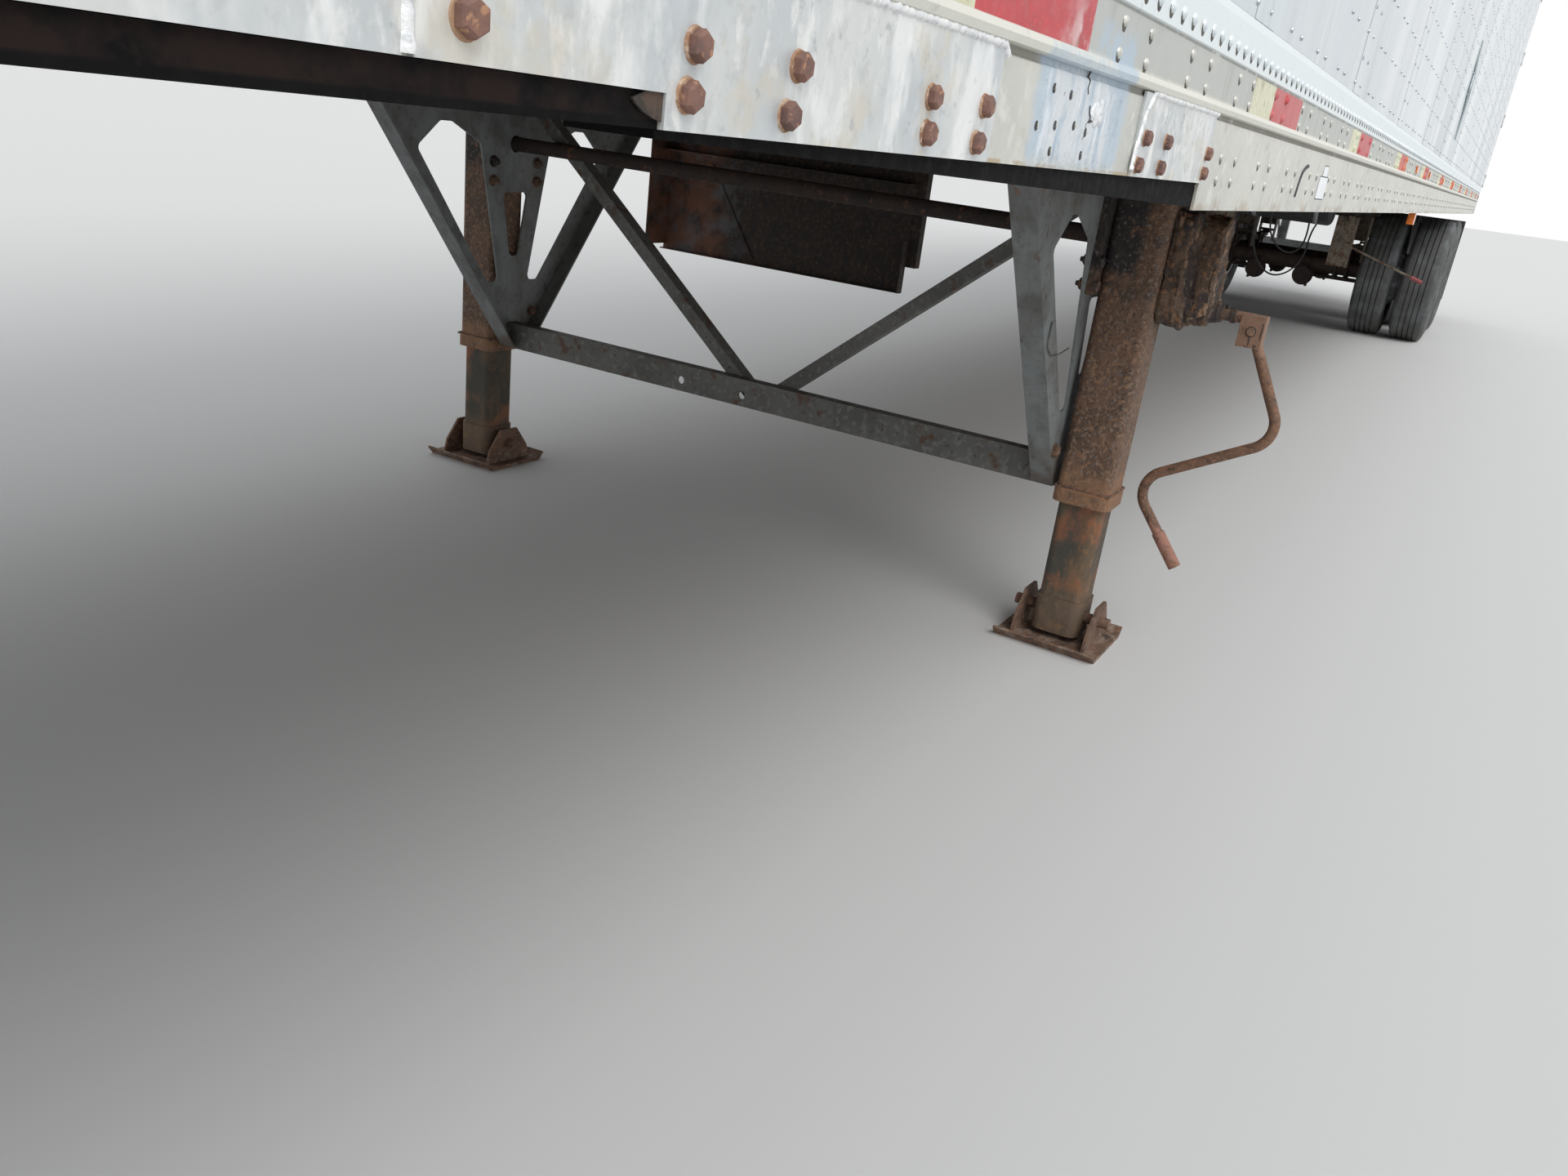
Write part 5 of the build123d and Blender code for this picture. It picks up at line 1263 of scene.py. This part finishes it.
# Door seals and bolts, lamp rims, flap bolts and the plates at the rear ends of the rails
rear = {
    "doorIn": 0.007, "doorOut": 1.206, "doorLow": 1.291, "doorHigh": 3.979,
    "sealWidth": 0.016, "sealDepth": (-7.996, -7.989), "sealBevel": 0.0014,
    "hingeZ": (1.420, 2.0225, 2.625, 3.2275, 3.830), "hingeY": (0.92, 1.00, 1.08, 1.15),
    "hingeX": -8.0008, "hingeSize": (0.009, 0.005),
    "rodY": (0.337, 0.867), "rodZ": (1.411, 2.191, 3.079, 3.859), "rodHalf": 0.036,
    "rodX": -7.9934, "rodBolt": (0.013, 0.007, 0.010),
    "lampY": (0.76, 0.89, 1.02), "lampZ": 1.190, "lampX": -7.99,
    "lampRim": ((-7.986, 0.051), (-7.996, 0.0525), (-7.996, 0.0590), (-7.986, 0.0620)),
    "flapFirst": 0.70, "flapStep": 0.1375, "flapCount": 5, "flapZ": 0.990,
    "flapBolts": ((-6.6700, 1, (0.017, 0.008, 0.014)), (-6.6793, -1, (0.017, 0.008, 0.020))),
    "plate": ((-7.89, -7.70), (1.2868, 1.2905), (1.088, 1.205)), "plateBevel": 0.001,
    "holeX": -7.83, "holeY": 1.2904, "holeZ": (1.118, 1.172), "hole": (0.013, 0.0006, 24),
}


def addDoorFittings(side, word):
    seal, bolts, body = bmesh.new(), bmesh.new(), "door_" + word.lower()
    inner, outer, low, high = (rear[key] for key in ("doorIn", "doorOut", "doorLow", "doorHigh"))
    wide = rear["sealWidth"]
    for across, heights in (((inner, inner + wide), (low, high)),
                            ((outer - wide, outer), (low, high)),
                            ((inner + wide, outer - wide), (low, low + wide)),
                            ((inner + wide, outer - wide), (high - wide, high))):
        addSideBlock(seal, side, rear["sealDepth"], across, heights, rear["sealBevel"])
    addPiece("doorSeal" + word, seal, "sealRubber", body)
    for z in rear["hingeZ"]:
        for y in rear["hingeY"]:
            addDome(bolts, (rear["hingeX"], side * y, z), (-1, 0, 0), *rear["hingeSize"], 12, 6)
    for y in rear["rodY"]:
        for z in rear["rodZ"]:
            for half in halves:
                spot = (rear["rodX"], side * y + half * rear["rodHalf"], z)
                addHex(bolts, spot, (-1, 0, 0), *rear["rodBolt"])
    addPiece("doorBolts" + word, bolts, "pinSteel", body)


def addRearFittings():
    for side, word in sides:
        addDoorFittings(side, word)
    rims, flaps, ends, holes = (bmesh.new() for _ in range(4))
    for y in rear["lampY"]:
        for side, _ in sides:
            spots = [(x, side * y + r, rear["lampZ"]) for x, r in rear["lampRim"]]
            addTurned(rims, spots, (rear["lampX"], side * y, rear["lampZ"]), (1, 0, 0), 40)
    for side, _ in sides:
        for index in range(rear["flapCount"]):
            y = side * (rear["flapFirst"] + rear["flapStep"] * index)
            for x, way, size in rear["flapBolts"]:
                addHex(flaps, (x, y, rear["flapZ"]), (way, 0, 0), *size)
        addSideBlock(ends, side, *rear["plate"], rear["plateBevel"], 1)
        for z in rear["holeZ"]:
            addDisc(holes, (rear["holeX"], side * rear["holeY"], z), (0, side, 0), *rear["hole"])
    addPiece("lampRims", rims, "sealRubber")
    addPiece("flapBolts", flaps, "pinSteel")
    addPiece("rearEndPlates", ends, "plateMetal")
    # The holes are thin dark discs: painted shade for their insides
    addPiece("rearEndHoles", holes, "paintedHoleShade")


nose = {
    "bow": ((-7.6, -1.240, 4.1090), (-7.56, 1.240, 4.1106)), "bowBevel": 0.0006, "bows": 26,
    "bowStep": 0.61,
    "trims": (((8.0148, -1.185, 1.150), (8.0200, 1.185, 1.200), 0.0015),
              ((8.0148, -1.185, 4.020), (8.0200, 1.185, 4.036), 0.0012)),
    "boltX": 8.0348, "boltY": (-0.245, 0.245), "boltZ": (1.362, 1.478),
    "bolt": (0.013, 0.007, 0.011),
}


def addNoseAndRoof():
    ribs, trims, bolts = bmesh.new(), bmesh.new(), bmesh.new()
    addBlock(ribs, *nose["bow"], nose["bowBevel"], 1)
    repeat(addPiece("roofBows", ribs, "roofMetal"),
           (nose["bows"], (nose["bowStep"], 0, 0)))
    for low, high, bevel in nose["trims"]:
        addBlock(trims, low, high, bevel)
    addPiece("noseTrims", trims, "plateMetal")
    for y in nose["boltY"]:
        for z in nose["boltZ"]:
            addHex(bolts, (nose["boltX"], y, z), (1, 0, 0), *nose["bolt"])
    addPiece("noseBolts", bolts, "pinSteel")


addRearFittings()
addNoseAndRoof()
print("rear, nose and roof")
